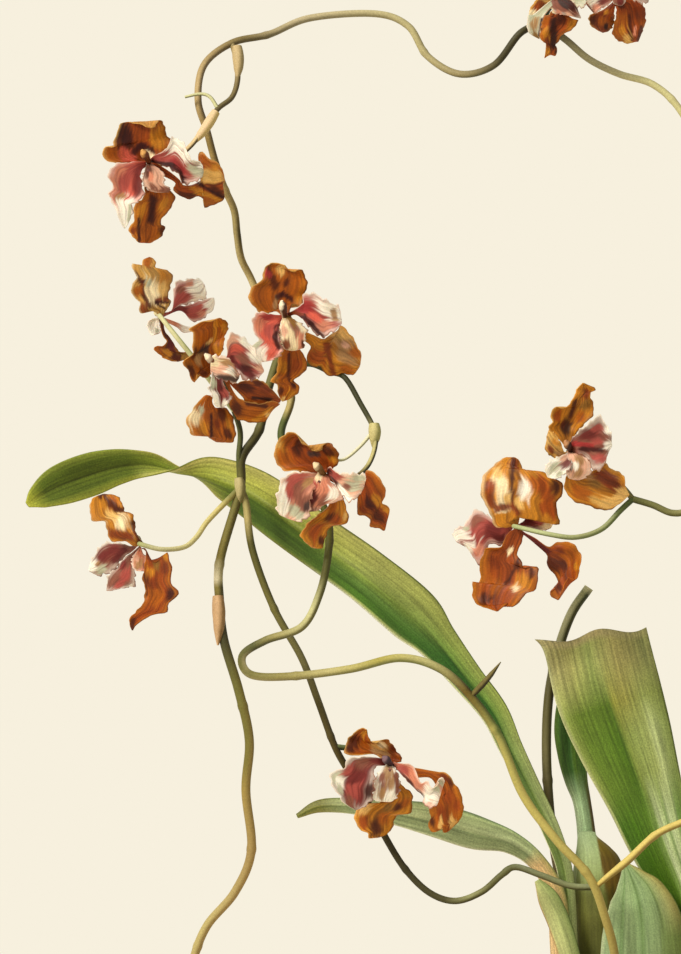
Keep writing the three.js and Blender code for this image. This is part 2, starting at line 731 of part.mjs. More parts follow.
const mainStem = [
  [-1, -30, 105], [-2.5, -34, 140], [-8, -40, 162.5], [-16, -46, 182.5], [-32.5, -50, 201],
  [-49, -52, 223.5], [-61, -55, 252.5], [-75, -58, 272.5], [-90, -60, 286], [-110, -62, 291.5],
  [-135, -62, 286], [-165, -58, 282.3], [-184.5, -54, 283.2], [-188.5, -54, 292.5], [-177, -58, 300.2],
  [-159, -62, 307], [-150.3, -64, 323], [-146, -62, 342.5], [-146, -50, 360], [-155, -35, 380],
  [-169.2, -20, 400.4], [-164.5, -18, 420], [-167.5, -8, 437.5], [-176, 0, 460], [-184.2, 0, 480],
  [-189.5, -3, 491], [-191.5, -6, 503], [-193, -8, 515], [-198, -11, 526.5], [-202.8, -14, 540.5],
  [-206.6, -15, 554.8], [-211, -15, 570], [-208, -10, 587.8], [-194, -5, 599], [-175.5, 0, 603.4],
  [-155, 5, 611.7], [-122.5, 10, 614], [-105.8, 10, 607.8], [-96, 8, 592.6], [-80, 0, 583.5],
  [-62.8, -8, 587.8], [-49.4, -10, 604], [-37.5, 0, 607.5], [-27, 5, 601], [-15, 5, 591],
  [0, 0, 583.5], [17, -5, 578], [30.5, -8, 565], [42.5, -12, 540], [55, -20, 500], [62.5, -28, 455],
  [62.5, -34, 410], [51, -38, 380], [35, -40, 366], [26, -40, 363.5], [16, -40, 367.5],
  [6, -40, 370.5],
];
const hangingStem = [
  [-170, -5.5, 445], [-176, -14, 425], [-180.4, -19, 405], [-189, -24, 391], [-190, -24, 375],
  [-199.9, -26, 340], [-200.2, -26, 320], [-198, -28, 300], [-190.6, -30, 275], [-185.3, -30, 250],
  [-187, -28, 225], [-184.3, -24, 195], [-192.4, -20, 174.2], [-206, -16, 157.8], [-212.5, -12, 143],
  [-217, -8, 125], [-215, -5, 105],
];
const lowerBranch = [
  [-190, -24, 376], [-187, -24, 368], [-183.7, -28, 345], [-173, -32, 316], [-159.2, -36, 291.3],
  [-151, -40, 270], [-142.5, -42, 247], [-134, -40, 232], [-125, -38, 217], [-117.5, -37, 202],
  [-107.5, -38, 186], [-95.4, -40, 174.2], [-82.5, -42, 170.1], [-69.3, -42, 174.7],
  [-59.4, -42, 183.1], [-52.5, -42, 187], [-40, -40, 183], [-25, -38, 177.5], [-12, -36.5, 176.8],
];
const rightBranch = [
  [-14.3, -44.8, 178], [-8, -47, 182], [3.5, -48, 190.5], [17, -49, 203], [30.5, -49, 209.5],
  [45, -48, 215], [60, -46, 221.5],
];
const curlingTwig = [[-201, -24, 565.5], [-205, -22, 571.5], [-210, -21, 573], [-217.5, -20, 571.5]];
const paleTwig = [[-123, -48, 405], [-129.7, -50, 397], [-137.5, -52, 390.5], [-143.5, -56, 390]];

// The stalks, without the last stretch, which runs straight to the back of the bloom.
const stalks = [
  [
    [-194, -5, 599], [-191.8, -10, 590], [-191.3, -14, 580], [-194.1, -18, 571.4], [-201, -24, 565.5],
    [-207.5, -28, 556.5], [-214, -30, 547.5], [-222, -27, 541], [-231, -25, 537.5],
  ],
  [[-193, -34, 415], [-205, -42, 430], [-214, -46, 442], [-222, -46, 452]],
  [[-190, -24, 380], [-190.5, -25, 392], [-190, -26, 405], [-195, -40, 420]],
  [[-170, -5.5, 445], [-168, -16, 456]],
  [
    [-167, -10, 436], [-155, -20, 438], [-145, -30, 434], [-137.5, -36, 431], [-130, -42, 418.5],
    [-123, -48, 405], [-122.8, -52, 395.3], [-127, -56, 386], [-134.5, -62, 381],
  ],
  [
    [-190, -24, 376], [-200, -28, 366], [-206.8, -33, 358.6], [-211.8, -38, 351.3], [-218, -43, 346.5],
    [-229, -48, 345.5],
  ],
  [[-142.5, -42, 247], [-132, -40, 246], [-120, -44, 246]],
  [[6, -40, 370.5], [0, -42, 365], [-9.7, -46, 355.5], [-22.5, -50, 351.5], [-36, -51, 353]],
  [[6, -40, 370.5], [0.8, -36, 376.8], [-10, -32, 388]],
  [[-37.5, 0, 607.5], [-36, -8, 615]],
  [[-36, -8, 615], [-28, -8, 632], [-12, -10, 638]],
];
const mainRadius = [2.6, 1.8];
const hangingRadius = [2.4, 1.9];
const branchRadius = [2.1, 1.7];
const stalkRadius = [1.6, 1.25];
const twigRadius = [1, 0.7];
const budProfile = [
  [0, 1],
  [0.3, 3.2],
  [0.7, 3.6],
  [1, 0.8],
];
const bractProfile = [
  [0, 0.8],
  [0.25, 1],
  [0.7, 0.8],
  [1, 0.2],
];

const budSides = 6;

// Bud and bract rows: the foot, the tip and, for a bract, its widest radius.
const buds = [
  [[-215.3, -5.5, 108], [-213, -3, 94]],
  [[58, -46.3, 220.5], [70, -45, 227.5]],
  [[44, -48, 214.5], [50, -52, 226]],
  [[-143, -56, 390], [-149, -59, 393]],
];
const bracts = [
  [[-199, -27, 322], [-202.5, -29, 298], 2.8],
  [[-123, -48, 408], [-123.5, -49, 396], 3.2],
  [[-191.5, -9, 597], [-191.3, -14, 580], 3],
  [[-202, -25, 564], [-214, -30, 547], 2.7],
  [[-75, -58, 272], [-60, -62, 289.5], 1.6],
  [[-190.5, -25, 382], [-190, -25, 368], 3.1],
];

function makeFlowerStem() {
  const stems = [
    stem(mainStem, ...mainRadius),
    stem(hangingStem, ...hangingRadius),
    stem(lowerBranch, ...branchRadius),
    stem(rightBranch, ...branchRadius),
    stem(curlingTwig, ...twigRadius),
    stem(paleTwig, ...twigRadius),
    ...stalks.map((route, place) => stem([...route, ...behindBloom(blooms[place])], ...stalkRadius)),
    ...buds.map(([foot, tip]) => spindle(vector(foot), vector(tip), budProfile, budSides)),
    ...bracts.map(([foot, tip, radius]) => {
      const profile = bractProfile.map(([share, width]) => [share, width * radius]);
      return spindle(vector(foot), vector(tip), profile, budSides);
    }),
  ];
  return join(stems);
}

// Stub of the older flower stem, cut off flat.
const stubRoute = [
  [-30, 4, 105], [-26, 2, 155], [-30, -5, 180], [-34, -8, 205], [-36.5, -5, 240], [-35.5, 0, 270],
  [-31, 10, 292.5], [-24, 12, 312.5], [-15, 12, 326],
];
const stubRadius = [2.4, 2.2];

// Compost: bark that fills the pot, uneven near the rim and level round the crown, with a plain
// hole for each pseudobulb and for each flower stem.

const compostSides = 26;
const unevenRings = [60, 53, 47];
const fillingGap = 2 * gap;
const bulbHoleGap = 0.5;
const stemHoleFloor = 104.7;

function plainHole([x, y], radius) {
  const depth = compostTop + barkRelief - stemHoleFloor;
  const drill = new THREE.CylinderGeometry(radius, radius, depth, holeSides);
  drill.rotateX(Math.PI / 2);
  drill.translate(x, y, stemHoleFloor + depth / 2);
  return solidOf(drill);
}

function makeCompost() {
  const draw = drawFrom(7);
  const [east, north] = [new THREE.Vector3(1, 0, 0), new THREE.Vector3(0, 1, 0)];
  const levelRing = (height, radius) =>
    ringAround(new THREE.Vector3(0, 0, height), east, north, radius, radius, compostSides);
  const edge = compostTop - barkRelief;
  const rings = [
    levelRing(potFloor + gap, innerRadiusAt(potFloor) - fillingGap),
    levelRing(edge, innerRadiusAt(edge) - fillingGap),
  ];
  for (const radius of unevenRings) {
    const ring = levelRing(compostTop, radius);
    for (const place of ring) place.z += barkRelief * (draw() - barkLevel);
    rings.push(ring);
  }
  rings.push(levelRing(compostTop, crownRadius));
  let compost = loft(rings);
  for (const rows of [frontBulb, rearBulb]) {
    compost = compost.subtract(bulb(rows, bulbHoleGap).translate(0, 0, -bulbHoleGap));
  }
  compost = compost.subtract(plainHole(mainStem[0], mainRadius[0] + stemHoleGap));
  return compost.subtract(plainHole(stubRoute[0], stubRadius[0] + stemHoleGap));
}

addNode("pot", makePot(), "#b5643c", 0.85);
addNode("compost", makeCompost(), "#5a3f2a", 0.95);
addNode("pseudobulbs", makePseudobulbs(), "#6f7a35", 0.6);
addNode("leaf_long", blade(leafLong, 28, 4, leafThickness), "#5f8f3c", 0.5);
addNode("leaf_broad", blade(leafBroad, 12, 6, leafThickness, true), "#6f9a5a", 0.5);
addNode("leaf_narrow", blade(leafNarrow, 10, 2, leafThickness), "#3f6f38", 0.5);
addNode("leaf_short", blade(leafShort, 18, 2, leafThickness), "#7da05a", 0.5);
addNode("sheath_left", blade(sheathLeft, 6, 4, sheathThickness), "#a9c79a", 0.6);
addNode("sheath_right", blade(sheathRight, 8, 4, sheathThickness), "#8fb48a", 0.6);
addNode("sheath_old", blade(sheathOld, 6, 4, sheathThickness), "#7a6a22", 0.8);
addNode("scape_stub", stem(stubRoute, ...stubRadius), "#3a4528", 0.6);
addNode("scape", makeFlowerStem(), "#7f8550", 0.6);
blooms.forEach((bloom, place) => {
  const head = new THREE.Group();
  head.position.set(...bloom.at);
  head.rotation.set(Math.PI / 2, bloom.back ? Math.PI : 0, 0);
  plant.add(head);
  const shapes = facingBloom(bloom);
  addNode(bloomName(place) + "_sepals", makeSepals(shapes, petalThickness), "#9a4f18", 0.6, head);
  addNode(bloomName(place) + "_petals", makePetals(shapes), "#d98f96", 0.6, head);
});

export default plant;
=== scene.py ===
import math

import bmesh
import bpy
import numpy as np
from mathutils import Matrix


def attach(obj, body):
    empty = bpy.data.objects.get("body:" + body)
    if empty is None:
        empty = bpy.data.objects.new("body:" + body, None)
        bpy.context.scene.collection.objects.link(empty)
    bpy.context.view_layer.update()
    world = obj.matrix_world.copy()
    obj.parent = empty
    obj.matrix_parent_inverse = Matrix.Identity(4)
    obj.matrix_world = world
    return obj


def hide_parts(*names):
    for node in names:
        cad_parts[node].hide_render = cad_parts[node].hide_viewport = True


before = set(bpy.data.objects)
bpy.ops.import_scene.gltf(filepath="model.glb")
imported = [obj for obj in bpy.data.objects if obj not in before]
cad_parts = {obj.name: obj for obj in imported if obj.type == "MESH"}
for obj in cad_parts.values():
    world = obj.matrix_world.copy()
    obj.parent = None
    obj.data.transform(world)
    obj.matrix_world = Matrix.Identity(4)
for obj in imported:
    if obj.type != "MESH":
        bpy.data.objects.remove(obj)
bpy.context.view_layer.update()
scene = bpy.context.scene
MM = 0.001

# Viewpoint and daylight.
# The plant is seen from far off and square on, as a drawn plate shows it, on cream paper.
# Soft light comes from the upper left, and the pale floor and the paper throw some of it back.

PICTURE_CENTRE = (-139.75, 381.5)
PICTURE_HEIGHT = 477
PLANT_DEPTH = -20
LENS = 600
SENSOR = 36
FARTHEST_SEEN = 40


def placed(name, data):
    """A new object in the scene."""
    made = bpy.data.objects.new(name, data)
    scene.collection.objects.link(made)
    return made


viewpoint = placed("viewpoint", bpy.data.cameras.new("viewpoint"))
viewpoint.data.lens = LENS
viewpoint.data.sensor_width = SENSOR
viewpoint.data.clip_end = FARTHEST_SEEN
distance = PICTURE_HEIGHT * LENS / SENSOR
viewpoint.location = (PICTURE_CENTRE[0] * MM, (PLANT_DEPTH - distance) * MM, PICTURE_CENTRE[1] * MM)
viewpoint.rotation_euler = (math.radians(90), 0, 0)
scene.camera = viewpoint
scene.view_settings.view_transform = "Standard"


def linear(hex_colour):
    """The linear colour of an sRGB hex value."""
    channels = [int(hex_colour[place : place + 2], 16) / 255 for place in (1, 3, 5)]
    return [c / 12.92 if c <= 0.04045 else ((c + 0.055) / 1.055) ** 2.4 for c in channels] + [1.0]


def add_node(tree, kind, inputs=None, **settings):
    """A new node with its settings, its values and the links into it."""
    made = tree.nodes.new(kind)
    for name, value in settings.items():
        setattr(made, name, value)
    for socket, value in (inputs or {}).items():
        if isinstance(value, bpy.types.NodeSocket):
            tree.links.new(value, made.inputs[socket])
        else:
            made.inputs[socket].default_value = value
    return made


def new_material(name):
    """An empty material, and its tree."""
    material = bpy.data.materials.new(name)
    material.use_nodes = True
    material.node_tree.nodes.clear()
    return material, material.node_tree


def finish_material(tree, surface):
    """Ends a material's tree in a shader with these inputs, and its output."""
    shader = add_node(tree, "ShaderNodeBsdfPrincipled", surface)
    add_node(tree, "ShaderNodeOutputMaterial", {"Surface": shader.outputs[0]})


world = bpy.data.worlds.new("daylight")
scene.world = world
world.use_nodes = True
world.node_tree.nodes.clear()
PAPER = "#F7F0DE"
DAYLIGHT = "#FFFAF0"
SKY_STRENGTH = 0.46
paper = add_node(world.node_tree, "ShaderNodeBackground", {"Color": linear(PAPER)})
sky = add_node(world.node_tree, "ShaderNodeBackground", {"Color": linear(DAYLIGHT), "Strength": SKY_STRENGTH})
ray = add_node(world.node_tree, "ShaderNodeLightPath")
backdrop = add_node(
    world.node_tree,
    "ShaderNodeMixShader",
    {0: ray.outputs["Is Camera Ray"], 1: sky.outputs[0], 2: paper.outputs[0]},
)
add_node(world.node_tree, "ShaderNodeOutputWorld", {"Surface": backdrop.outputs[0]})


def add_sun(name, strength, spread, turn):
    """A soft sun. spread is its width in the sky, and turn tilts it from overhead, in degrees."""
    light = placed(name, bpy.data.lights.new(name, "SUN"))
    light.data.energy = strength
    light.data.angle = math.radians(spread)
    light.data.color = linear(DAYLIGHT)[:3]
    light.rotation_euler = [math.radians(angle) for angle in turn]


add_sun("window_light", 2.7, 18, (52, 0, -42))
add_sun("room_light", 0.5, 60, (60, 0, 60))
add_sun("back_light", 0.7, 60, (-55, 0, 25))

FLOOR_RADIUS = 3000
FLOOR_SIDES = 96
floor_mesh = bpy.data.meshes.new("floor")
shape = bmesh.new()
bmesh.ops.create_circle(shape, cap_ends=True, radius=FLOOR_RADIUS * MM, segments=FLOOR_SIDES)
shape.to_mesh(floor_mesh)
shape.free()
floor = placed("floor", floor_mesh)
# Pale matt paint, which throws soft light back up and shows no gloss.
pale_floor, tree = new_material("pale_matt_floor")
finish_material(tree, {"Base Color": linear("#EDE6D8"), "Roughness": 0.9})
floor_mesh.materials.append(pale_floor)

# Pot.
# A plain hand-thrown clay pot, fired and unglazed, with a band round its mouth and drain holes.
# It is turned: one profile goes round the axis, and the wheel's fine rings stay in the clay.

POT_HEIGHT = 125
RIM_RADIUS = 76
RIM_HEIGHT = 24
BODY_RADIUS = 69
FOOT_RADIUS = 50
POT_WALL = 5
POT_FLOOR = 8
POT_EDGE = 2.5
MOUTH_FLARE = 1
DRAIN_HOLES = 3
DRAIN_RADIUS = 5
DRAIN_CIRCLE = 24
DRAIN_SIDES = 24
POT_TURN_SIDES = 144
EDGE_STEPS = 4


def inner_radius(height):
    """The radius of the pot's inside at a height."""
    share = (height - POT_FLOOR) / (POT_HEIGHT - POT_FLOOR)
    return FOOT_RADIUS - POT_WALL + share * (BODY_RADIUS + MOUTH_FLARE - FOOT_RADIUS)


def rounded(corners):
    """A profile whose inner corners are rounded by arcs of the pot's own edge."""
    points = [corners[0]]
    for before, corner, after in zip(corners, corners[1:], corners[2:]):
        before, corner, after = (np.array(p, float) for p in (before, corner, after))
        reach = min(POT_EDGE, np.linalg.norm(before - corner) / 2, np.linalg.norm(after - corner) / 2)
        start = corner + (before - corner) / np.linalg.norm(before - corner) * reach
        end = corner + (after - corner) / np.linalg.norm(after - corner) * reach
        for step in range(EDGE_STEPS + 1):
            w = step / EDGE_STEPS
            points.append((1 - w) ** 2 * start + 2 * w * (1 - w) * corner + w**2 * end)
    points.append(corners[-1])
    return [tuple(p) for p in points]


band_foot = POT_HEIGHT - RIM_HEIGHT
pot_profile = rounded(
    [
        (0, 0),
        (FOOT_RADIUS, 0),
        (BODY_RADIUS, band_foot),
        (RIM_RADIUS, band_foot),
        (RIM_RADIUS, POT_HEIGHT),
        (inner_radius(POT_HEIGHT), POT_HEIGHT),
        (inner_radius(POT_FLOOR), POT_FLOOR),
        (0, POT_FLOOR),
    ]
)


def group_input(tree, name, kind, value=None):
    """A named input of a geometry tree, with its default, as the identifier that a modifier sets."""
    socket = tree.interface.new_socket(name, in_out="INPUT", socket_type=kind)
    if value is not None:
        socket.default_value = value
    return socket.identifier


def new_geometry_tree(name):
    """An empty geometry tree with its way in and out for geometry."""
    tree = bpy.data.node_groups.new(name, "GeometryNodeTree")
    tree.interface.new_socket("Geometry", in_out="INPUT", socket_type="NodeSocketGeometry")
    tree.interface.new_socket("Geometry", in_out="OUTPUT", socket_type="NodeSocketGeometry")
    return tree


def close_geometry_tree(tree, geometry, material):
    """Ends a geometry tree: its instances are made real and its material is set."""
    real = add_node(tree, "GeometryNodeRealizeInstances", {"Geometry": geometry})
    smooth = add_node(tree, "GeometryNodeSetShadeSmooth", {"Geometry": real.outputs[0]})
    dressed = add_node(tree, "GeometryNodeSetMaterial", {"Geometry": smooth.outputs[0], "Material": material})
    add_node(tree, "NodeGroupOutput", {0: dressed.outputs[0]})


def grow(name, base_mesh, tree, inputs):
    """Runs a geometry tree on a mesh and keeps the result as a plain mesh object."""
    seed_object = placed(name + "_base", base_mesh)
    modifier = seed_object.modifiers.new("grow", "NODES")
    modifier.node_group = tree
    for identifier, value in inputs.items():
        modifier[identifier] = value
    evaluated = seed_object.evaluated_get(bpy.context.evaluated_depsgraph_get())
    mesh = bpy.data.meshes.new_from_object(evaluated)
    mesh.name = name
    seed_object.modifiers.remove(modifier)
    bpy.data.objects.remove(seed_object)
    return placed(name, mesh)


def line_mesh(name, paths, **attributes):
    """A mesh of bare edges along each path, with a value or a colour a point for each attribute."""
    points, edges = [], []
    for path in paths:
        start = len(points)
        points += [tuple(np.array(point, float) * MM) for point in path]
        edges += [(place, place + 1) for place in range(start, len(points) - 1)]
    mesh = bpy.data.meshes.new(name)
    mesh.from_pydata(points, edges, [])
    for attribute, values in attributes.items():
        values = np.array(values, np.float32)
        is_colour = values.ndim == 2
        made = mesh.attributes.new(attribute, "FLOAT_COLOR" if is_colour else "FLOAT", "POINT")
        made.data.foreach_set("color" if is_colour else "value", values.ravel())
    return mesh


# Fired terracotta, thrown and left unglazed: an earthy red, matt and a little chalky, with paler
# clouds of lime, a fine grit and the shallow rings of the potter's fingers.
CLAY_CLOUD_SIZE = 45.5
CLAY_GRIT_SIZE = 1.11
CLAY_GRIT_DEPTH = 0.3
CLAY_RING_SPACING = 13.8
CLAY_RING_DEPTH = 0.4
WAVE_TURN = 20 / (2 * math.pi)  # waves a unit that the wave texture makes by itself
fired_clay, tree = new_material("fired_terracotta")
spot = add_node(tree, "ShaderNodeTexCoord").outputs["Object"]
lime = add_node(
    tree, "ShaderNodeTexNoise", {"Vector": spot, "Scale": 1 / (CLAY_CLOUD_SIZE * MM), "Detail": 5.0}
)
grit = add_node(
    tree, "ShaderNodeTexNoise", {"Vector": spot, "Scale": 1 / (CLAY_GRIT_SIZE * MM), "Detail": 2.0}
)
finger_rings = add_node(
    tree,
    "ShaderNodeTexWave",
    {
        "Vector": spot,
        "Scale": 1 / (CLAY_RING_SPACING * MM) / WAVE_TURN,
        "Distortion": 1.2,
        "Detail": 2.0,
    },
    bands_direction="Z",
)
clay_colours = add_node(tree, "ShaderNodeValToRGB", {"Fac": lime.outputs["Fac"]})
for stop, (position, colour) in zip(clay_colours.color_ramp.elements, ((0.3, "#A9603C"), (0.72, "#D3A284"))):
    stop.position = position
    stop.color = linear(colour)
worn = add_node(
    tree,
    "ShaderNodeMix",
    {"Factor": grit.outputs["Fac"], 6: clay_colours.outputs[0], 7: linear("#B87350")},
    data_type="RGBA",
)
ring_bump = add_node(
    tree,
    "ShaderNodeBump",
    {"Height": finger_rings.outputs["Fac"], "Strength": 0.25, "Distance": CLAY_RING_DEPTH * MM},
)
grit_bump = add_node(
    tree,
    "ShaderNodeBump",
    {
        "Height": grit.outputs["Fac"],
        "Strength": 0.3,
        "Distance": CLAY_GRIT_DEPTH * MM,
        "Normal": ring_bump.outputs[0],
    },
)
finish_material(tree, {"Base Color": worn.outputs[2], "Roughness": 0.88, "Normal": grit_bump.outputs[0]})

# A small wheel sweeps half the profile round, and the seam on the axis is closed.
WHEEL_RADIUS = 0.001
SEAM_WIDTH = 0.01
turning = new_geometry_tree("turned_on_the_wheel")
sides_input = group_input(turning, "Sides", "NodeSocketInt", POT_TURN_SIDES)
clay_input = group_input(turning, "Clay", "NodeSocketMaterial")
given = add_node(turning, "NodeGroupInput")
profile = add_node(turning, "GeometryNodeMeshToCurve", {"Mesh": given.outputs["Geometry"]})
wheel = add_node(
    turning,
    "GeometryNodeCurvePrimitiveCircle",
    {"Resolution": given.outputs["Sides"], "Radius": WHEEL_RADIUS * MM},
)
upright = add_node(turning, "GeometryNodeSetCurveNormal", {"Curve": wheel.outputs[0]}, mode="Z_UP")
swept = add_node(
    turning, "GeometryNodeCurveToMesh", {"Curve": upright.outputs[0], "Profile Curve": profile.outputs[0]}
)
closed = add_node(
    turning, "GeometryNodeMergeByDistance", {"Geometry": swept.outputs[0], "Distance": SEAM_WIDTH * MM}
)
close_geometry_tree(turning, closed.outputs[0], given.outputs["Clay"])
profile_mesh = line_mesh("pot_profile", [[(radius, -height, 0) for radius, height in pot_profile]])
turned_pot = grow("turned_pot", profile_mesh, turning, {sides_input: POT_TURN_SIDES, clay_input: fired_clay})


def outwards(piece):
    """Turns a closed piece's faces outwards."""
    shape = bmesh.new()
    shape.from_mesh(piece.data)
    if shape.calc_volume(signed=True) < 0:
        bmesh.ops.reverse_faces(shape, faces=shape.faces)
    shape.to_mesh(piece.data)
    shape.free()


outwards(turned_pot)
drills_mesh = bpy.data.meshes.new("drills")
shape = bmesh.new()
for hole in range(DRAIN_HOLES):
    angle = 2 * math.pi * hole / DRAIN_HOLES
    x, y = DRAIN_CIRCLE * MM * math.cos(angle), DRAIN_CIRCLE * MM * math.sin(angle)
    bmesh.ops.create_cone(
        shape,
        cap_ends=True,
        segments=DRAIN_SIDES,
        radius1=DRAIN_RADIUS * MM,
        radius2=DRAIN_RADIUS * MM,
        depth=3 * POT_FLOOR * MM,
        matrix=Matrix.Translation((x, y, 0)),
    )
shape.to_mesh(drills_mesh)
shape.free()
drills = placed("drills", drills_mesh)
drilling = turned_pot.modifiers.new("drain_holes", "BOOLEAN")
drilling.object = drills
drilling.operation = "DIFFERENCE"
drilling.solver = "EXACT"
pot_mesh = bpy.data.meshes.new_from_object(turned_pot.evaluated_get(bpy.context.evaluated_depsgraph_get()))
bpy.data.objects.remove(turned_pot)
bpy.data.objects.remove(drills)
pot = placed("clay_pot", pot_mesh)
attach(pot, "root")
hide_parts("pot")

# Compost.
# Orchid bark in bits of 7 to 17 mm, dark and damp below and paler where it dries on top.
# A dished filling lies under a loose layer of chips, strewn with a fixed seed.

COMPOST_TOP = 112
COMPOST_EDGE_TOP = 110.5
COMPOST_DISH_RADIUS = 30
COMPOST_SHOULDER_RADIUS = 48
COMPOST_SHOULDER_DROP = 0.5
COMPOST_SIDES = 72
CHIPS_PER_SQUARE_METRE = 95000
CHIP_SIZE = (0.0062, 0.0034, 0.0019)
SMALLEST_CHIP = (0.55, 0.6, 0.6)
LARGEST_CHIP = (1.25, 1.3, 1.4)
CHIP_TILT = 0.5
CHIP_LUMPS = 1.3
CHIP_SEED = 11
LEVEL_ENOUGH = 0.8
FILLING_GAP = 0.6
filling_profile = [
    (0, POT_FLOOR + FILLING_GAP),
    (inner_radius(POT_FLOOR) - FILLING_GAP, POT_FLOOR + FILLING_GAP),
    (inner_radius(COMPOST_EDGE_TOP) - FILLING_GAP, COMPOST_EDGE_TOP),
    (COMPOST_SHOULDER_RADIUS, COMPOST_TOP - COMPOST_SHOULDER_DROP),
    (COMPOST_DISH_RADIUS, COMPOST_TOP),
    (0, COMPOST_TOP),
]

# Pine bark, broken up by hand: flaky and matt, red-brown to grey by the chip, with darker damp spots
# and fine fibres.
DAMP_SPOT_SIZE = 3.85
FIBRE_WIDTH = 0.667
FIBRE_DEPTH = 0.4
bark, tree = new_material("pine_bark")
spot = add_node(tree, "ShaderNodeTexCoord").outputs["Object"]
tone = add_node(tree, "ShaderNodeAttribute", attribute_name="chip_tone")
damp = add_node(
    tree, "ShaderNodeTexNoise", {"Vector": spot, "Scale": 1 / (DAMP_SPOT_SIZE * MM), "Detail": 4.0}
)
fibre = add_node(tree, "ShaderNodeTexNoise", {"Vector": spot, "Scale": 1 / (FIBRE_WIDTH * MM), "Detail": 3.0})
mottled = add_node(
    tree,
    "ShaderNodeMix",
    {"Factor": 0.45, "A": tone.outputs["Fac"], "B": damp.outputs["Fac"]},
    data_type="FLOAT",
)
bark_colours = add_node(tree, "ShaderNodeValToRGB", {"Fac": mottled.outputs[0]})
for position, colour in ((0.2, "#2C1B12"), (0.45, "#5E3B25"), (0.62, "#8A5F3F"), (0.85, "#A98D6E")):
    bark_colours.color_ramp.elements.new(position).color = linear(colour)
for spare in (0, -1):
    bark_colours.color_ramp.elements.remove(bark_colours.color_ramp.elements[spare])
bark_bump = add_node(
    tree, "ShaderNodeBump", {"Height": fibre.outputs["Fac"], "Strength": 0.5, "Distance": FIBRE_DEPTH * MM}
)
finish_material(
    tree, {"Base Color": bark_colours.outputs[0], "Roughness": 0.93, "Normal": bark_bump.outputs[0]}
)

# The tree strews chips over the filling's top: each is a lump, broken by a noise, flattened to a
# chip, and then turned and sized at random.
strewing = new_geometry_tree("strewn_bark")
density_input = group_input(strewing, "Chips a square metre", "NodeSocketFloat", CHIPS_PER_SQUARE_METRE)
chip_input = group_input(strewing, "Chip size", "NodeSocketVector", CHIP_SIZE)
seed_input = group_input(strewing, "Seed", "NodeSocketInt", CHIP_SEED)
bark_input = group_input(strewing, "Bark", "NodeSocketMaterial")
given = add_node(strewing, "NodeGroupInput")
normal = add_node(strewing, "GeometryNodeInputNormal")
upward = add_node(strewing, "ShaderNodeSeparateXYZ", {0: normal.outputs[0]})
on_top = add_node(
    strewing, "ShaderNodeMath", {0: upward.outputs[2], 1: LEVEL_ENOUGH}, operation="GREATER_THAN"
)
spots = add_node(
    strewing,
    "GeometryNodeDistributePointsOnFaces",
    {
        "Mesh": given.outputs["Geometry"],
        "Selection": on_top.outputs[0],
        "Density": given.outputs["Chips a square metre"],
        "Seed": given.outputs["Seed"],
    },
)
turn = add_node(
    strewing,
    "FunctionNodeRandomValue",
    {
        0: (-CHIP_TILT, -CHIP_TILT, 0.0),
        1: (CHIP_TILT, CHIP_TILT, 2 * math.pi),
        "Seed": given.outputs["Seed"],
    },
    data_type="FLOAT_VECTOR",
)
grade = add_node(
    strewing,
    "FunctionNodeRandomValue",
    {0: SMALLEST_CHIP, 1: LARGEST_CHIP, "Seed": given.outputs["Seed"]},
    data_type="FLOAT_VECTOR",
)
shade = add_node(
    strewing, "FunctionNodeRandomValue", {2: 0.15, 3: 0.85, "Seed": given.outputs["Seed"]}, data_type="FLOAT"
)
toned = add_node(
    strewing,
    "GeometryNodeStoreNamedAttribute",
    {"Geometry": spots.outputs[0], "Name": "chip_tone", "Value": shade.outputs[1]},
    data_type="FLOAT",
    domain="POINT",
)
lump = add_node(strewing, "GeometryNodeMeshIcoSphere", {"Radius": 1.0, "Subdivisions": 2})
rough = add_node(strewing, "ShaderNodeTexNoise", {"Scale": CHIP_LUMPS, "Detail": 1.0})
offset = add_node(
    strewing, "ShaderNodeVectorMath", {0: rough.outputs["Color"], 1: (0.5, 0.5, 0.5)}, operation="SUBTRACT"
)
broken = add_node(
    strewing, "GeometryNodeSetPosition", {"Geometry": lump.outputs[0], "Offset": offset.outputs[0]}
)
chip = add_node(
    strewing, "GeometryNodeTransform", {"Geometry": broken.outputs[0], "Scale": given.outputs["Chip size"]}
)
strewn = add_node(
    strewing,
    "GeometryNodeInstanceOnPoints",
    {
        "Points": toned.outputs[0],
        "Instance": chip.outputs[0],
        "Rotation": turn.outputs[0],
        "Scale": grade.outputs[0],
    },
)
whole = add_node(strewing, "GeometryNodeJoinGeometry", {0: strewn.outputs[0]})
strewing.links.new(given.outputs["Geometry"], whole.inputs[0])
close_geometry_tree(strewing, whole.outputs[0], given.outputs["Bark"])
filling_line = line_mesh("filling_profile", [[(radius, -height, 0) for radius, height in filling_profile]])
filling = grow("filling", filling_line, turning, {sides_input: COMPOST_SIDES, clay_input: bark})
outwards(filling)
compost = grow(
    "bark_compost",
    filling.data,
    strewing,
    {density_input: CHIPS_PER_SQUARE_METRE, chip_input: CHIP_SIZE, seed_input: CHIP_SEED, bark_input: bark},
)
bpy.data.objects.remove(filling)
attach(compost, "root")
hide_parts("compost")

# Pseudobulbs, rhizome and roots.
# The swollen storage stems, furrowed lengthwise and green where they're fresh and brown where their
# sheaths have rotted. They stand on a creeping rhizome, with white roots that run over the bark.

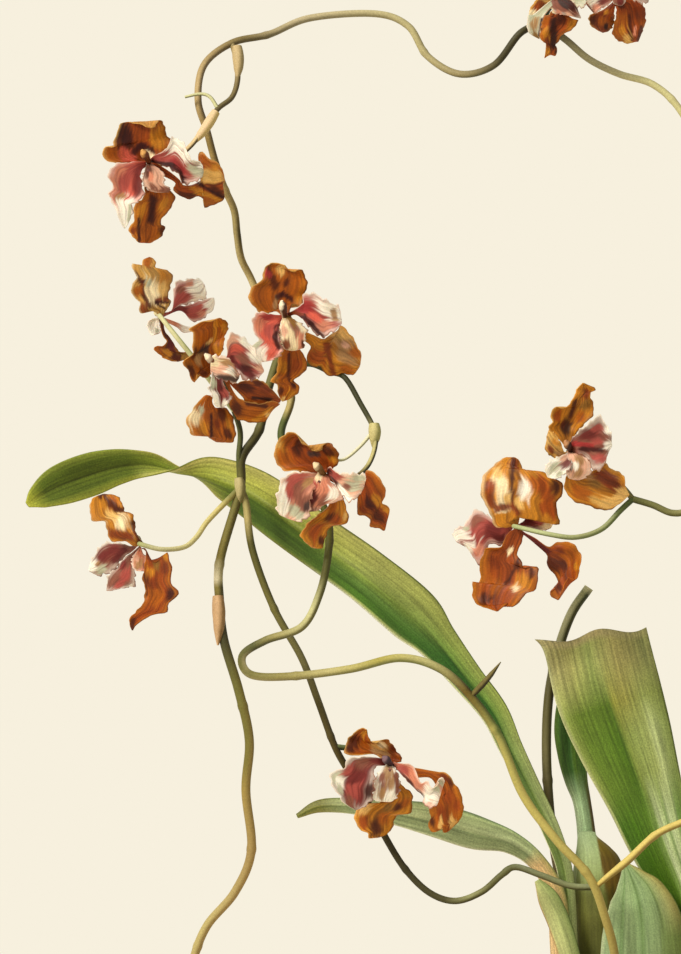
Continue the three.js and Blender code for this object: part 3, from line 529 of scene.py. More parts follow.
# Rows of height, centre and half-widths, from the compost up.
FRONT_BULB = [
    (100, -8, 0, 8, 6), (113, -8, 0, 12, 9), (135, -9, 0, 13.5, 11), (165, -10, 0, 13.8, 10.5),
    (180, -10.5, 0, 13.2, 9.5), (190, -11, 0.5, 11.5, 8), (196, -13, 1, 8.5, 6.5),
    (201, -15.8, 1.8, 5.2, 3.8), (203.5, -16.1, 2.6, 4.2, 2.2),
]
REAR_BULB = [
    (100, 44, 17, 8, 6), (113, 44, 17, 12, 9), (130, 44, 17, 13, 10), (150, 44, 17, 11.5, 9),
    (166, 44, 17, 8, 6.5), (175, 44, 17, 3.5, 3),
]
BULB_ROWS = 90
BULB_SIDES = 72
BULB_FURROWS = 14
FURROW_DEPTH = 0.022
FURROW_SWAY = 0.8
BULB_TIP = 0.8
BULB_GIRTH = 12


def smooth_path(points, shares):
    """Points at shares, from 0 to 1, of a smooth curve through the points."""
    points = np.array(points, float)
    padded = np.vstack([2 * points[0] - points[1], points, 2 * points[-1] - points[-2]])
    place = np.clip(np.asarray(shares, float) * (len(points) - 1), 0, len(points) - 1 - 1e-9)
    span = place.astype(int)
    w = (place - span)[:, None]
    before, start, end, after = (padded[span + step] for step in range(4))
    return 0.5 * (
        2 * start
        + (end - before) * w
        + (2 * before - 5 * start + 4 * end - after) * w**2
        + (3 * start - before - 3 * end + after) * w**3
    )


def even_path(points, count, squeeze=0.0):
    """Points along a smooth curve, even along its length, or closer at its ends by squeeze."""
    fine = smooth_path(points, np.linspace(0, 1, 24 * len(points)))
    run = np.concatenate([[0], np.cumsum(np.linalg.norm(np.diff(fine, axis=0), axis=1))])
    even = np.linspace(0, 1, count)
    at = ((1 - squeeze) * even + squeeze * (1 - np.cos(math.pi * even)) / 2) * run[-1]
    return np.stack([np.interp(at, run, fine[:, axis]) for axis in range(fine.shape[1])], 1)


def soft_step(value, low, high):
    """0 below low and 1 above high, smooth between them."""
    share = np.clip((value - low) / (high - low), 0, 1)
    return share * share * (3 - 2 * share)


def blended(values, stops):
    """Colours at values between stops, each a value and a hex colour."""
    places = [place for place, _ in stops]
    colours = np.array([linear(colour)[:3] for _, colour in stops])
    return np.stack([np.interp(values, places, colours[:, channel]) for channel in range(3)], -1)


def mixed(under, over, share):
    """One colour field laid over another by a share field."""
    return under + (over - under) * np.asarray(share)[..., None]


def painted_mesh(name, points, faces, pigment, blade):
    """A mesh in mm with a pigment at every point and a map along and across its blade."""
    mesh = bpy.data.meshes.new(name)
    mesh.from_pydata((points * MM).tolist(), [], faces)
    made = mesh.color_attributes.new("pigment", "FLOAT_COLOR", "POINT")
    made.data.foreach_set("color", np.c_[pigment, np.ones(len(pigment))].astype(np.float32).ravel())
    layer = mesh.uv_layers.new(name="blade")
    corners = np.empty(len(mesh.loops), np.int32)
    mesh.loops.foreach_get("vertex_index", corners)
    layer.data.foreach_set("uv", (blade[corners] * MM).astype(np.float32).ravel())
    mesh.polygons.foreach_set("use_smooth", [True] * len(mesh.polygons))
    return mesh


def add_piece(name, mesh, material):
    """An object of the mesh, at the origin, in its material."""
    mesh.materials.append(material)
    return placed(name, mesh)


# A noise mostly lies between these two values.
NOISE_LOW = 0.3
NOISE_HIGH = 0.7
SKIN_CLOUD_SIZE = 11.1
SKIN_CLOUD_CONTRAST = 0.07
SKIN_GRAIN_SIZE = 0.769


def living_skin(name, ridge, streak, contrast, stipple, roughness, depth, translucency=0.0):
    """A plant's skin: its pigment, made lighter and darker by veins, by clouds and by a fine grain.

    ridge and streak are a vein's width and length, and depth is its height, in mm. contrast and
    stipple say how far the veins and the grain change the pigment."""
    material, tree = new_material(name)
    pigment = add_node(tree, "ShaderNodeAttribute", attribute_name="pigment")
    blade_map = add_node(tree, "ShaderNodeUVMap", uv_map="blade")
    spot = add_node(tree, "ShaderNodeTexCoord").outputs["Object"]
    stretched = add_node(
        tree,
        "ShaderNodeMapping",
        {"Vector": blade_map.outputs[0], "Scale": (1 / (streak * MM), 1 / (ridge * MM), 1.0)},
    )
    veins = add_node(
        tree, "ShaderNodeTexNoise", {"Vector": stretched.outputs[0], "Scale": 1.0, "Detail": 2.5}
    )
    layers = [(veins, contrast)]
    for size, swing in ((SKIN_CLOUD_SIZE, SKIN_CLOUD_CONTRAST), (SKIN_GRAIN_SIZE, stipple)):
        noise = add_node(
            tree, "ShaderNodeTexNoise", {"Vector": spot, "Scale": 1 / (size * MM), "Detail": 3.0}
        )
        layers.append((noise, swing))
    colour = pigment.outputs["Color"]
    for noise, swing in layers:
        limits = {"From Min": NOISE_LOW, "From Max": NOISE_HIGH, "To Min": 1 - swing, "To Max": 1 + swing}
        level = add_node(tree, "ShaderNodeMapRange", {"Value": noise.outputs["Fac"], **limits})
        tinted = add_node(tree, "ShaderNodeVectorMath", {0: colour, 3: level.outputs[0]}, operation="SCALE")
        colour = tinted.outputs[0]
    bump = add_node(
        tree, "ShaderNodeBump", {"Height": veins.outputs["Fac"], "Strength": 0.5, "Distance": depth * MM}
    )
    finish_material(
        tree,
        {
            "Base Color": colour,
            "Roughness": roughness,
            "Specular IOR Level": 0.22,
            "Normal": bump.outputs[0],
            "Subsurface Weight": translucency,
            "Subsurface Radius": (1.0, 0.6, 0.4),
            "Subsurface Scale": 1.0 * MM,
        },
    )
    return material


def furrowed_bulb(rows, colours):
    """A bulb's closed skin through rows of height, centre and half-widths, in furrows."""
    rows = smooth_path(rows, np.linspace(0, 1, BULB_ROWS))
    angle = np.linspace(0, 2 * math.pi, BULB_SIDES, endpoint=False)
    height, centre_x, centre_y, half_x, half_y = (rows[:, k][:, None] for k in range(5))
    share = np.linspace(0, 1, BULB_ROWS)[:, None]
    furrow = 1 - FURROW_DEPTH * (0.5 + 0.5 * np.cos(BULB_FURROWS * angle + FURROW_SWAY * np.sin(3 * share)))
    x = centre_x + half_x * np.cos(angle) * furrow
    y = centre_y + half_y * np.sin(angle) * furrow
    rings = np.stack([x, y, height + 0 * angle], -1).reshape(-1, 3)
    ends = [[rows[0, 1], rows[0, 2], rows[0, 0]], [rows[-1, 1], rows[-1, 2], rows[-1, 0] + BULB_TIP]]
    at = np.arange(BULB_ROWS * BULB_SIDES).reshape(BULB_ROWS, BULB_SIDES)
    beside = np.roll(at, -1, axis=1)
    faces = np.stack([at[:-1], beside[:-1], beside[1:], at[1:]], -1).reshape(-1, 4).tolist()
    foot, top = len(rings), len(rings) + 1
    faces += [[foot, int(beside[0, k]), int(at[0, k])] for k in range(BULB_SIDES)]
    faces += [[top, int(at[-1, k]), int(beside[-1, k])] for k in range(BULB_SIDES)]
    points = np.vstack([rings, ends])
    blade = np.stack(np.broadcast_arrays(height, BULB_GIRTH * angle), -1).reshape(-1, 2)
    blade = np.vstack([blade, [[rows[0, 0], 0], [rows[-1, 0], 0]]])
    return points, faces, colours(points), blade


def front_bulb_colours(points):
    """Pale blue-green at its upper left, brown on its right shoulder and darker brown low down."""
    x, z = points[:, 0], points[:, 2]
    colour = blended(
        z,
        [(113, "#33300F"), (140, "#5A5E26"), (160, "#6A6C2E"), (172, "#666A30"), (177, "#80884C"),
         (183, "#9CAC6C"), (192, "#A4B67C"), (204, "#A0B484")],
    )
    brown = blended(
        z,
        [(113, "#2A200C"), (150, "#4A4218"), (172, "#554A18"), (180, "#6E5416"), (190, "#624E16"),
         (200, "#74641C")],
    )
    # The shoulder starts at a line that leans to the left, and turns olive where it faces right.
    shoulder = soft_step(x + 11.3 - 0.17 * (200 - z), -0.6, 0.6) * soft_step(-z, -204, -199)
    olive = soft_step(x + 0.25 * (z - 180), 0, 4)
    brown = mixed(brown, np.array(linear("#6A6A2C")[:3]), 0.55 * olive)
    return mixed(colour, brown, shoulder)


def rear_bulb_colours(points):
    """Green, older and duller, with a brown foot."""
    return blended(points[:, 2], [(113, "#4A3E1C"), (128, "#6E6B20"), (150, "#8B8E2F"), (175, "#897020")])


# The tough skin of a living bulb: waxy, half glossy, with long blunt ribs that catch the light.
bulb_skin = living_skin("pseudobulb_skin", 1.6, 30, 0.16, 0.15, 0.5, 0.5)
skins = [furrowed_bulb(FRONT_BULB, front_bulb_colours), furrowed_bulb(REAR_BULB, rear_bulb_colours)]
shift = len(skins[0][0])
faces = skins[0][1] + [[corner + shift for corner in face] for face in skins[1][1]]
points, pigment, blade = (np.vstack([skin[part] for skin in skins]) for part in (0, 2, 3))
bulbs = painted_mesh("pseudobulbs", points, faces, pigment, blade)
bulb_piece = add_piece("furrowed_pseudobulbs", bulbs, bulb_skin)
outwards(bulb_piece)
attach(bulb_piece, "root")
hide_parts("pseudobulbs")

RHIZOME = [(-4, 3, 116), (10, 10, 118), (24, 14, 118), (40, 16, 117)]
ROOTS = [
    [(-14, 4, 118), (-26, 16, 119), (-33, 30, 117.5), (-39, 44, 118)],
    [(44, 20, 118), (46, 32, 119.5), (38, 42, 118), (29, 50, 117.5)],
    [(48, 12, 118), (57, 2, 118.5), (55, -14, 119), (46, -28, 118), (38, -40, 117)],
    [(22, 14, 118), (21, 28, 119.5), (10, 40, 118), (-6, 46, 118), (-12, 56, 117.5)],
]
RHIZOME_RADIUS = (3.6, 3.6)
ROOT_RADIUS = (1.7, 1.615, 1.2, 0.5)
STEM_SIDES = 14

# One tree grows every stem and root: it sweeps a round section along lines that carry their own
# radius and colours, and closes their ends.
stemming = new_geometry_tree("grown_stems")
stem_sides_input = group_input(stemming, "Sides", "NodeSocketInt", STEM_SIDES)
stem_skin_input = group_input(stemming, "Skin", "NodeSocketMaterial")
given = add_node(stemming, "NodeGroupInput")
girth = add_node(stemming, "GeometryNodeInputNamedAttribute", {"Name": "girth"}, data_type="FLOAT")
centre_line = add_node(stemming, "GeometryNodeMeshToCurve", {"Mesh": given.outputs["Geometry"]})
section = add_node(
    stemming, "GeometryNodeCurvePrimitiveCircle", {"Resolution": given.outputs["Sides"], "Radius": 1.0}
)
tube = add_node(
    stemming,
    "GeometryNodeCurveToMesh",
    {
        "Curve": centre_line.outputs[0],
        "Profile Curve": section.outputs[0],
        "Scale": girth.outputs[0],
        "Fill Caps": True,
    },
)
close_geometry_tree(stemming, tube.outputs[0], given.outputs["Skin"])

# The way towards the light: the side of a stem that faces it is painted in its lit colour and the far side in
# its shaded colour, as painted light and shade.
SUNWARD = (-0.72, -0.45, 0.52)
SHADE_LINE = (0.02, 0.6)
STEM_WANDER_SIZE = 6.25
STEM_WANDER = 0.05
STEM_GRAIN_SIZE = 0.909
STEM_GRAIN_CONTRAST = 0.12
STEM_GRAIN_DEPTH = 0.15


def stem_material(name, roughness):
    """A round stem's skin, with painted light and shade: its lit colour on the side towards the light
    and its shaded colour on the other.
    """
    material, tree = new_material(name)
    lit = add_node(tree, "ShaderNodeAttribute", attribute_name="lit_side")
    shaded = add_node(tree, "ShaderNodeAttribute", attribute_name="shaded_side")
    surface = add_node(tree, "ShaderNodeTexCoord")
    spot = surface.outputs["Object"]
    sunward = add_node(
        tree,
        "ShaderNodeVectorMath",
        {0: surface.outputs["Normal"], 1: SUNWARD},
        operation="DOT_PRODUCT",
    )
    wander = add_node(
        tree, "ShaderNodeTexNoise", {"Vector": spot, "Scale": 1 / (STEM_WANDER_SIZE * MM), "Detail": 2.0}
    )
    grain = add_node(
        tree, "ShaderNodeTexNoise", {"Vector": spot, "Scale": 1 / (STEM_GRAIN_SIZE * MM), "Detail": 3.0}
    )
    uneven, speck = (
        add_node(
            tree,
            "ShaderNodeMapRange",
            {
                "Value": noise.outputs["Fac"],
                "From Min": NOISE_LOW,
                "From Max": NOISE_HIGH,
                "To Min": middle - swing,
                "To Max": middle + swing,
            },
        )
        for noise, middle, swing in ((wander, 0, STEM_WANDER), (grain, 1, STEM_GRAIN_CONTRAST))
    )
    edge = add_node(
        tree, "ShaderNodeMath", {0: sunward.outputs["Value"], 1: uneven.outputs[0]}, operation="ADD"
    )
    side = add_node(
        tree,
        "ShaderNodeMapRange",
        {"Value": edge.outputs[0], "From Min": SHADE_LINE[0], "From Max": SHADE_LINE[1]},
    )
    both = add_node(
        tree,
        "ShaderNodeMix",
        {"Factor": side.outputs[0], 6: shaded.outputs["Color"], 7: lit.outputs["Color"]},
        data_type="RGBA",
    )
    tinted = add_node(
        tree, "ShaderNodeVectorMath", {0: both.outputs[2], 3: speck.outputs[0]}, operation="SCALE"
    )
    bump = add_node(
        tree,
        "ShaderNodeBump",
        {"Height": grain.outputs["Fac"], "Strength": 0.3, "Distance": STEM_GRAIN_DEPTH * MM},
    )
    finish_material(
        tree,
        {
            "Base Color": tinted.outputs[0],
            "Roughness": roughness,
            "Specular IOR Level": 0.25,
            "Normal": bump.outputs[0],
        },
    )
    return material


JOINT_LENGTH = 1.6
JOINT_SWELLING = 0.14
FEWEST_STEM_POINTS = 8


def stem_line(route, girths, lit, shaded, joints=(), step=1.2):
    """A stem's fine centre line, with its girth and its two colours at each point.

    girths are radii along the route. lit and shaded are a hex colour or rows of share and colour.
    joints are shares of the length where it swells into a ring, and step is the points' spacing."""
    length = np.linalg.norm(np.diff(np.array(route, float), axis=0), axis=1).sum()
    count = max(FEWEST_STEM_POINTS, int(length / step))
    share = np.linspace(0, 1, count)
    girth = np.interp(share, np.linspace(0, 1, len(girths)), girths)
    for joint in joints:
        girth = girth * (1 + JOINT_SWELLING * np.exp(-(((share - joint) * length / JOINT_LENGTH) ** 2)))
    rows = [[(0, side), (1, side)] if isinstance(side, str) else side for side in (lit, shaded)]
    return even_path(route, count), girth * MM, blended(share, rows[0]), blended(share, rows[1])


def grow_stems(name, lines, material):
    """Grows stem lines into one piece."""
    paths, girths, lit, shaded = zip(*lines)
    lit, shaded = (np.vstack(colours) for colours in (lit, shaded))
    opaque = np.ones(len(lit))
    base = line_mesh(
        name,
        paths,
        girth=np.concatenate(girths),
        lit_side=np.c_[lit, opaque],
        shaded_side=np.c_[shaded, opaque],
    )
    piece = grow(name, base, stemming, {stem_sides_input: STEM_SIDES, stem_skin_input: material})
    outwards(piece)
    return piece


# Velamen, the spongy coat of an air root: matt and chalk-white, and green at the growing tip.
# Each root and the rhizome are painted in a lit colour on the side towards the light and a darker shaded one
# on the other: painted light and shade.
root_skin = stem_material("root_velamen", 0.8)
root_lines = [
    stem_line(
        route,
        ROOT_RADIUS,
        [(0, "#C9C2A4"), (0.85, "#E4DEC8"), (0.93, "#B9C48A"), (1, "#8FA85A")],
        [(0, "#8F8768"), (0.85, "#A8A184"), (0.93, "#7E8A52"), (1, "#5F7A3A")],
    )
    for route in ROOTS
]
root_lines.append(stem_line(RHIZOME, RHIZOME_RADIUS, "#8A7A4C", "#4A3C22", joints=(0.2, 0.45, 0.7, 0.9)))
roots = grow_stems("rhizome_and_roots", root_lines, root_skin)
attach(roots, "root")
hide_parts("pseudobulbs")

# Leaves.
# Leathery straps folded along the midrib, with veins that run their whole length.
# The broad one is cut across at the top, and the long one turns over near its tip.

LEAF_THICKNESS = 1.2
LEAF_MARGIN = 0.6
MARGIN_START = 0.75
# Stations from foot to tip: a point of the midrib, the half width, the roll and the fold in degrees.
LEAF_LONG = [
    (-24, -13, 113.6, 6, 0, -50), (-25, -14, 150, 6, 0, -50), (-27, -15, 182, 5.5, 0, -48),
    (-34, -17, 204, 6.2, 0, -45), (-44.5, -20, 226, 6.6, 0, -42), (-54.5, -23, 246, 7.6, 0, -40),
    (-63, -25, 264, 8.8, 0, -38), (-76.5, -27, 281, 9.9, 0, -36), (-91, -28, 299, 12.4, 0, -35),
    (-104, -27, 313, 17, 0, -35), (-127.5, -23, 332.5, 16.5, 0, -35), (-155, -13, 352, 16, 0, -35),
    (-181, 0, 371, 15.8, 0, -35), (-203, 8, 380.3, 11.6, 20, -30), (-222, 12, 383.5, 6.5, 95, -25),
    (-238, 11, 387.5, 7, 170, -20), (-252, 8, 386.5, 9.5, 180, -20), (-266, 3, 382.5, 11.5, 180, -20),
    (-281, -5, 377, 10.5, 180, -15), (-291, -10, 371.5, 6.5, 180, -12), (-296.5, -12, 367.5, 1.5, 180, -10),
]
LEAF_BROAD = [
    (44, -8, 113.6, 13, 0, -55), (40, -12, 145, 14, 0, -50), (31, -15, 172.5, 17, 0, -45),
    (21, -18, 197.5, 21, 0, -40), (12.5, -20, 222.5, 25, 0, -38), (2.5, -20, 250, 28.5, 0, -32),
    (-6, -18, 275, 30, 0, -28), (-12.5, -14, 303.5, 28.5, 0, -25),
]
LEAF_NARROW = [
    (-16.2, 2, 201, 7, 0, -50), (-17.2, 2.6, 210, 6.6, 0, -50), (-18.9, 3.2, 220, 6.8, 0, -50),
    (-21.6, 4, 230, 7.8, 0, -44), (-23.4, 5.5, 242, 9, 0, -38), (-23.8, 8, 256, 10, 0, -32),
    (-21.5, 11, 272, 9.2, 0, -27), (-16.5, 13.5, 287, 6.4, 0, -22), (-10, 15, 297.5, 1.2, 0, -20),
]
LEAF_SHORT = [
    (-28.5, -19.5, 113.6, 6, 0, -40), (-30, -20, 150, 6.5, 0, -40), (-32, -21, 172.5, 6, 0, -40),
    (-41.5, -24, 189, 5.5, 0, -38), (-55, -29, 199, 7, 0, -35), (-72.5, -33, 204, 10, 0, -32),
    (-92.5, -34, 210, 9.5, 0, -30), (-112.5, -32, 214, 7, 0, -28), (-132.5, -28, 217, 4.5, 0, -26),
    (-150, -24, 217, 3.5, 0, -25), (-161.5, -22, 212, 1.2, 0, -25),
]
CUT_WAVE = 1.8
CUT_WAVES = 5
CUT_SLANT = 2.3
CUT_BOW = 1.3
CUT_REACH = 12
CUT_FLARE = 4
FLARE_REACH = 60
FOLD_ROUNDING = 0.004
SHORT_STEP = 1e-4


def turned(vectors, axis, angle):
    """Vectors square to an axis, turned about it."""
    return vectors * np.cos(angle)[:, None] + np.cross(axis, vectors) * np.sin(angle)[:, None]


def blade_points(stations, rows, columns, cut=False):
    """The points of a blade, from its foot to its tip and from its left edge to its right."""
    stations = np.array(stations, float)
    share = np.linspace(0, 1, rows)
    midrib = smooth_path(stations[:, :3], share)
    ahead, behind = (
        smooth_path(stations[:, :3], np.clip(share + step, 0, 1)) for step in (SHORT_STEP, -SHORT_STEP)
    )
    tangent = (ahead - behind) / np.linalg.norm(ahead - behind, axis=1)[:, None]
    forwards = np.array([0, -1, 0]) + tangent[:, 1:2] * tangent
    forwards /= np.linalg.norm(forwards, axis=1)[:, None]
    width, roll, fold = smooth_path(stations[:, 3:], share).T
    across = turned(np.cross(tangent, forwards), tangent, -np.radians(roll))
    forwards = turned(forwards, tangent, -np.radians(roll))
    v = np.linspace(-1, 1, columns)
    reach = width[:, None] * v
    depth = width[:, None] * np.sqrt(v**2 + FOLD_ROUNDING) * np.sin(np.radians(fold))[:, None]
    points = (
        midrib[:, None]
        + across[:, None] * (reach * np.cos(np.radians(fold))[:, None])[..., None]
        + forwards[:, None] * depth[..., None]
    )
    if cut:
        rise = CUT_WAVE * np.sin(CUT_WAVES * v + 1) - CUT_SLANT * v + CUT_BOW * v * v
        points = points + tangent[:, None] * (share[:, None] ** CUT_REACH * rise)[..., None]
        flare = share[:, None] ** FLARE_REACH * CUT_FLARE * np.minimum(v, 0) ** 3
        points = points + across[:, None] * flare[..., None]
    length = np.concatenate([[0], np.cumsum(np.linalg.norm(np.diff(midrib, axis=0), axis=1))])
    blade = np.stack(np.broadcast_arrays(length[:, None], v[None] * width.mean()), -1)
    return points, share, v, blade


def thin_sheet(points, thickness, front, back, blade):
    """A closed sheet over a grid of points. Its front looks along its columns' cross its rows."""
    rows, columns = points.shape[:2]
    row, column = np.arange(rows), np.arange(columns)
    lengthwise = points[np.minimum(row + 1, rows - 1)] - points[np.maximum(row - 1, 0)]
    crosswise = points[:, np.minimum(column + 1, columns - 1)] - points[:, np.maximum(column - 1, 0)]
    normal = np.cross(crosswise, lengthwise)
    normal /= np.maximum(np.linalg.norm(normal, axis=-1), 1e-9)[..., None]
    half = normal * (np.broadcast_to(thickness, (rows, columns)) / 2)[..., None]
    at = np.arange(rows * columns).reshape(rows, columns)
    a, b, c, d = at[:-1, :-1], at[1:, :-1], at[1:, 1:], at[:-1, 1:]
    other = rows * columns
    faces = [np.stack([a, d, c, b], -1).reshape(-1, 4), np.stack([a, b, c, d], -1).reshape(-1, 4) + other]
    border = np.concatenate([at[:-1, 0], at[-1, :-1], at[:0:-1, -1], at[0, :0:-1]])
    onward = np.roll(border, -1)
    faces.append(np.stack([border, onward, onward + other, border + other], -1))
    return (
        np.concatenate([(points + half).reshape(-1, 3), (points - half).reshape(-1, 3)]),
        np.concatenate(faces),
        np.concatenate([front.reshape(-1, 3), back.reshape(-1, 3)]),
        np.concatenate([blade.reshape(-1, 2)] * 2),
    )


def sheet_mesh(name, sheets):
    """One painted mesh of thin sheets."""
    shifts = np.cumsum([0] + [len(sheet[0]) for sheet in sheets])
    faces = np.concatenate([sheet[1] + shift for sheet, shift in zip(sheets, shifts)]).tolist()
    points, pigment, blade = (np.concatenate([sheet[part] for sheet in sheets]) for part in (0, 2, 3))
    return painted_mesh(name, points, faces, pigment, blade)


def tinted_grid(share, v, rows):
    """Colours over a blade from rows of a share of its length and stops across it."""
    across = np.stack([blended(v, stops) for _, stops in rows])
    places = [place for place, _ in rows]
    flat = across.reshape(len(rows), -1)
    even = np.stack([np.interp(share, places, flat[:, k]) for k in range(flat.shape[1])], 1)
    return even.reshape(len(share), len(v), 3)


def add_blade(name, node, stations, colours, underside, material, rows, columns, thickness, cut=False):
    """One leaf or sheath: its sheet and its two sides' colours, attached to the root, with the part it
    replaces hidden.
    """
    points, share, v, blade = blade_points(stations, rows, columns, cut)
    front = tinted_grid(share, v, colours)
    back = tinted_grid(share, v, underside)
    margin = soft_step(np.abs(v), MARGIN_START, 1)
    thickness = thickness + (LEAF_MARGIN - thickness) * margin[None] + 0 * share[:, None]
    sheet = thin_sheet(points, thickness, front, back, blade)
    piece = add_piece(name, sheet_mesh(name, [sheet]), material)
    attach(piece, "root")
    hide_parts(node)


# A living leaf: leathery and half glossy, its green streaked by fine veins that run its whole length.
leaf_skin = living_skin("leathery_leaf", 1.1, 40, 0.3, 0.26, 0.5, 0.3)
# Rows of colour across a leaf, from its left edge at -1 to its right edge at 1. They were brought
# near to colours measured on the plate.
# On the long leaf, from its foot to where it turns over, the lower half (v below 0) is painted dark as shade
# and the upper half light as lit, and the pale line along its v = -1 edge is a painted highlight.
# LONG_SHADED_TURN is a band of painted shade over its lower half where the leaf turns over.
LONG_FOOT = [
    (-1, "#EBEABC"), (-0.93, "#BBC490"), (-0.84, "#6C803C"), (-0.3, "#62783A"), (-0.04, "#566A2A"),
    (0.04, "#98A868"), (0.5, "#A6B476"), (0.9, "#AEB87C"), (0.97, "#708240"), (1, "#5C6A28"),
]
LONG_LOW = [
    (-1, "#EEF3D8"), (-0.9, "#B7BE74"), (-0.82, "#3A6824"), (-0.3, "#2F5C1E"), (-0.04, "#28501A"),
    (0.03, "#6D8E3A"), (0.5, "#8A9C48"), (0.9, "#9AA752"), (0.97, "#667C30"), (1, "#4D6624"),
]
LONG_MIDDLE = [
    (-1, "#F0F3DE"), (-0.92, "#B4BE70"), (-0.85, "#4A7020"), (-0.6, "#446A20"), (-0.35, "#64863A"),
    (-0.1, "#7C923E"), (0.03, "#929E50"), (0.5, "#AAAE5C"), (0.9, "#B0B25E"), (0.97, "#767E34"),
    (1, "#4E5E20"),
]
LONG_UPPER = [
    (-1, "#EBDA80"), (-0.85, "#9EA240"), (-0.4, "#7E8C2C"), (-0.04, "#6A7A22"), (0.05, "#8E983A"),
    (0.5, "#9CA246"), (0.95, "#B7B262"), (1, "#6E7421"),
]
LONG_SHADED_TURN = [
    (-1, "#8E9440"), (-0.9, "#4C6420"), (-0.5, "#3C5618"), (-0.15, "#4C641C"), (0.05, "#8E963A"),
    (0.5, "#A4A44A"), (0.95, "#BAB462"), (1, "#6E7421"),
]
LONG_TIP = [
    (-1, "#838E36"), (-0.6, "#5B6E1E"), (-0.06, "#424F10"), (0, "#363E08"), (0.06, "#505E18"),
    (0.6, "#56661E"), (1, "#8C9032"),
]
LONG_POINT = [(-1, "#A7A939"), (1, "#A7A939")]
add_blade(
    "long_leaf", "leaf_long", LEAF_LONG,
    [(0, LONG_FOOT), (0.16, LONG_FOOT), (0.3, LONG_LOW), (0.38, LONG_LOW), (0.5, LONG_MIDDLE),
     (0.55, LONG_SHADED_TURN), (0.62, LONG_SHADED_TURN), (0.66, LONG_UPPER), (0.7, LONG_UPPER),
     (0.78, LONG_TIP), (1, LONG_TIP)],
    [(0, LONG_UPPER), (0.7, LONG_UPPER), (0.78, LONG_TIP), (0.93, LONG_TIP), (1, LONG_POINT)],
    leaf_skin, 260, 25, LEAF_THICKNESS,
)
BROAD_LOW = [
    (-1, "#DCDFA8"), (-0.95, "#BAC482"), (-0.9, "#4C7022"), (-0.5, "#456A16"), (-0.1, "#507020"),
    (0.05, "#748F46"), (0.14, "#BFCF98"), (0.3, "#AFC284"), (0.36, "#748F4E"), (0.44, "#BFCF98"),
    (0.62, "#AABC7E"), (0.68, "#64823C"), (0.9, "#708C3A"), (1, "#90A058"),
]
BROAD_MIDDLE = [
    (-1, "#D1D49A"), (-0.93, "#87954A"), (-0.72, "#627C2A"), (-0.4, "#567222"), (-0.12, "#446214"),
    (-0.03, "#405C12"), (0.03, "#78863C"), (0.25, "#8A9850"), (0.48, "#98A45C"), (0.6, "#B0BC7E"),
    (0.78, "#8C9A58"), (0.95, "#768440"), (1, "#4E581E"),
]
BROAD_UPPER = [
    (-1, "#D1D49A"), (-0.93, "#87954A"), (-0.72, "#5C7026"), (-0.4, "#566E22"), (-0.12, "#4A6218"),
    (-0.03, "#4A6218"), (0.03, "#868636"), (0.25, "#8A883E"), (0.48, "#848A44"), (0.6, "#88924C"),
    (0.78, "#7A8440"), (0.95, "#6A7434"), (1, "#4E581E"),
]
BROAD_TOP = [
    (-1, "#EBEEAE"), (-0.94, "#B6B276"), (-0.6, "#A6A462"), (-0.2, "#8C9852"), (0, "#969856"),
    (0.3, "#9A9254"), (0.6, "#8B884E"), (0.85, "#787C46"), (0.95, "#909254"), (1, "#686E36"),
]
BROAD_RIM = [(-1, "#BAB27E"), (0, "#9E9260"), (1, "#8E8C56")]
add_blade(
    "broad_leaf", "leaf_broad", LEAF_BROAD,
    [(0, BROAD_LOW), (0.5, BROAD_LOW), (0.62, BROAD_MIDDLE), (0.72, BROAD_MIDDLE), (0.82, BROAD_UPPER),
     (0.93, BROAD_TOP), (0.975, BROAD_TOP), (0.99, BROAD_RIM), (1, BROAD_RIM)],
    [(0, BROAD_LOW), (0.5, BROAD_MIDDLE), (0.97, BROAD_MIDDLE), (1, BROAD_RIM)],
    leaf_skin, 200, 41, LEAF_THICKNESS, True,
)
NARROW = [
    (-1, "#5C742C"), (-0.8, "#40601F"), (-0.1, "#2F531B"), (0.05, "#53702A"), (0.8, "#3E6623"),
    (1, "#6D7F33"),
]
NARROW_NECK = [(-1, "#B4C89C"), (-0.3, "#9DB788"), (0.45, "#93AE7E"), (0.7, "#5A4E18"), (1, "#4A3A04")]
add_blade(
    "narrow_leaf", "leaf_narrow", LEAF_NARROW,
    [(0, NARROW_NECK), (0.22, NARROW_NECK), (0.42, NARROW), (1, NARROW)],
    [(0, NARROW_NECK), (0.4, NARROW), (1, NARROW)],
    leaf_skin, 120, 21, LEAF_THICKNESS,
)
SHORT = [
    (-1, "#DDE2BA"), (-0.85, "#A0B07E"), (-0.1, "#7C8C60"), (0.03, "#ABB682"), (0.8, "#9CAA74"),
    (1, "#6A8054"),
]
SHORT_TIP = [(-1, "#8E8848"), (-0.1, "#666C2E"), (0.05, "#7A7A38"), (1, "#6A6A2E")]
SHORT_FOOT = [(-1, "#DCBE88"), (0, "#D2B27A"), (0.6, "#BEA868"), (1, "#8A8E52")]
add_blade(
    "short_leaf", "leaf_short", LEAF_SHORT,
    [(0, SHORT_FOOT), (0.29, SHORT_FOOT), (0.335, SHORT), (0.8, SHORT), (0.9, SHORT_TIP), (1, SHORT_TIP)],
    [(0, SHORT_FOOT), (0.4, SHORT), (1, SHORT_TIP)],
    leaf_skin, 180, 21, LEAF_THICKNESS,
)

# Sheaths.
# Short leafless blades wrapped round the foot of the growth, thinner and paler than a leaf.
# The old one behind has dried to a brown husk.

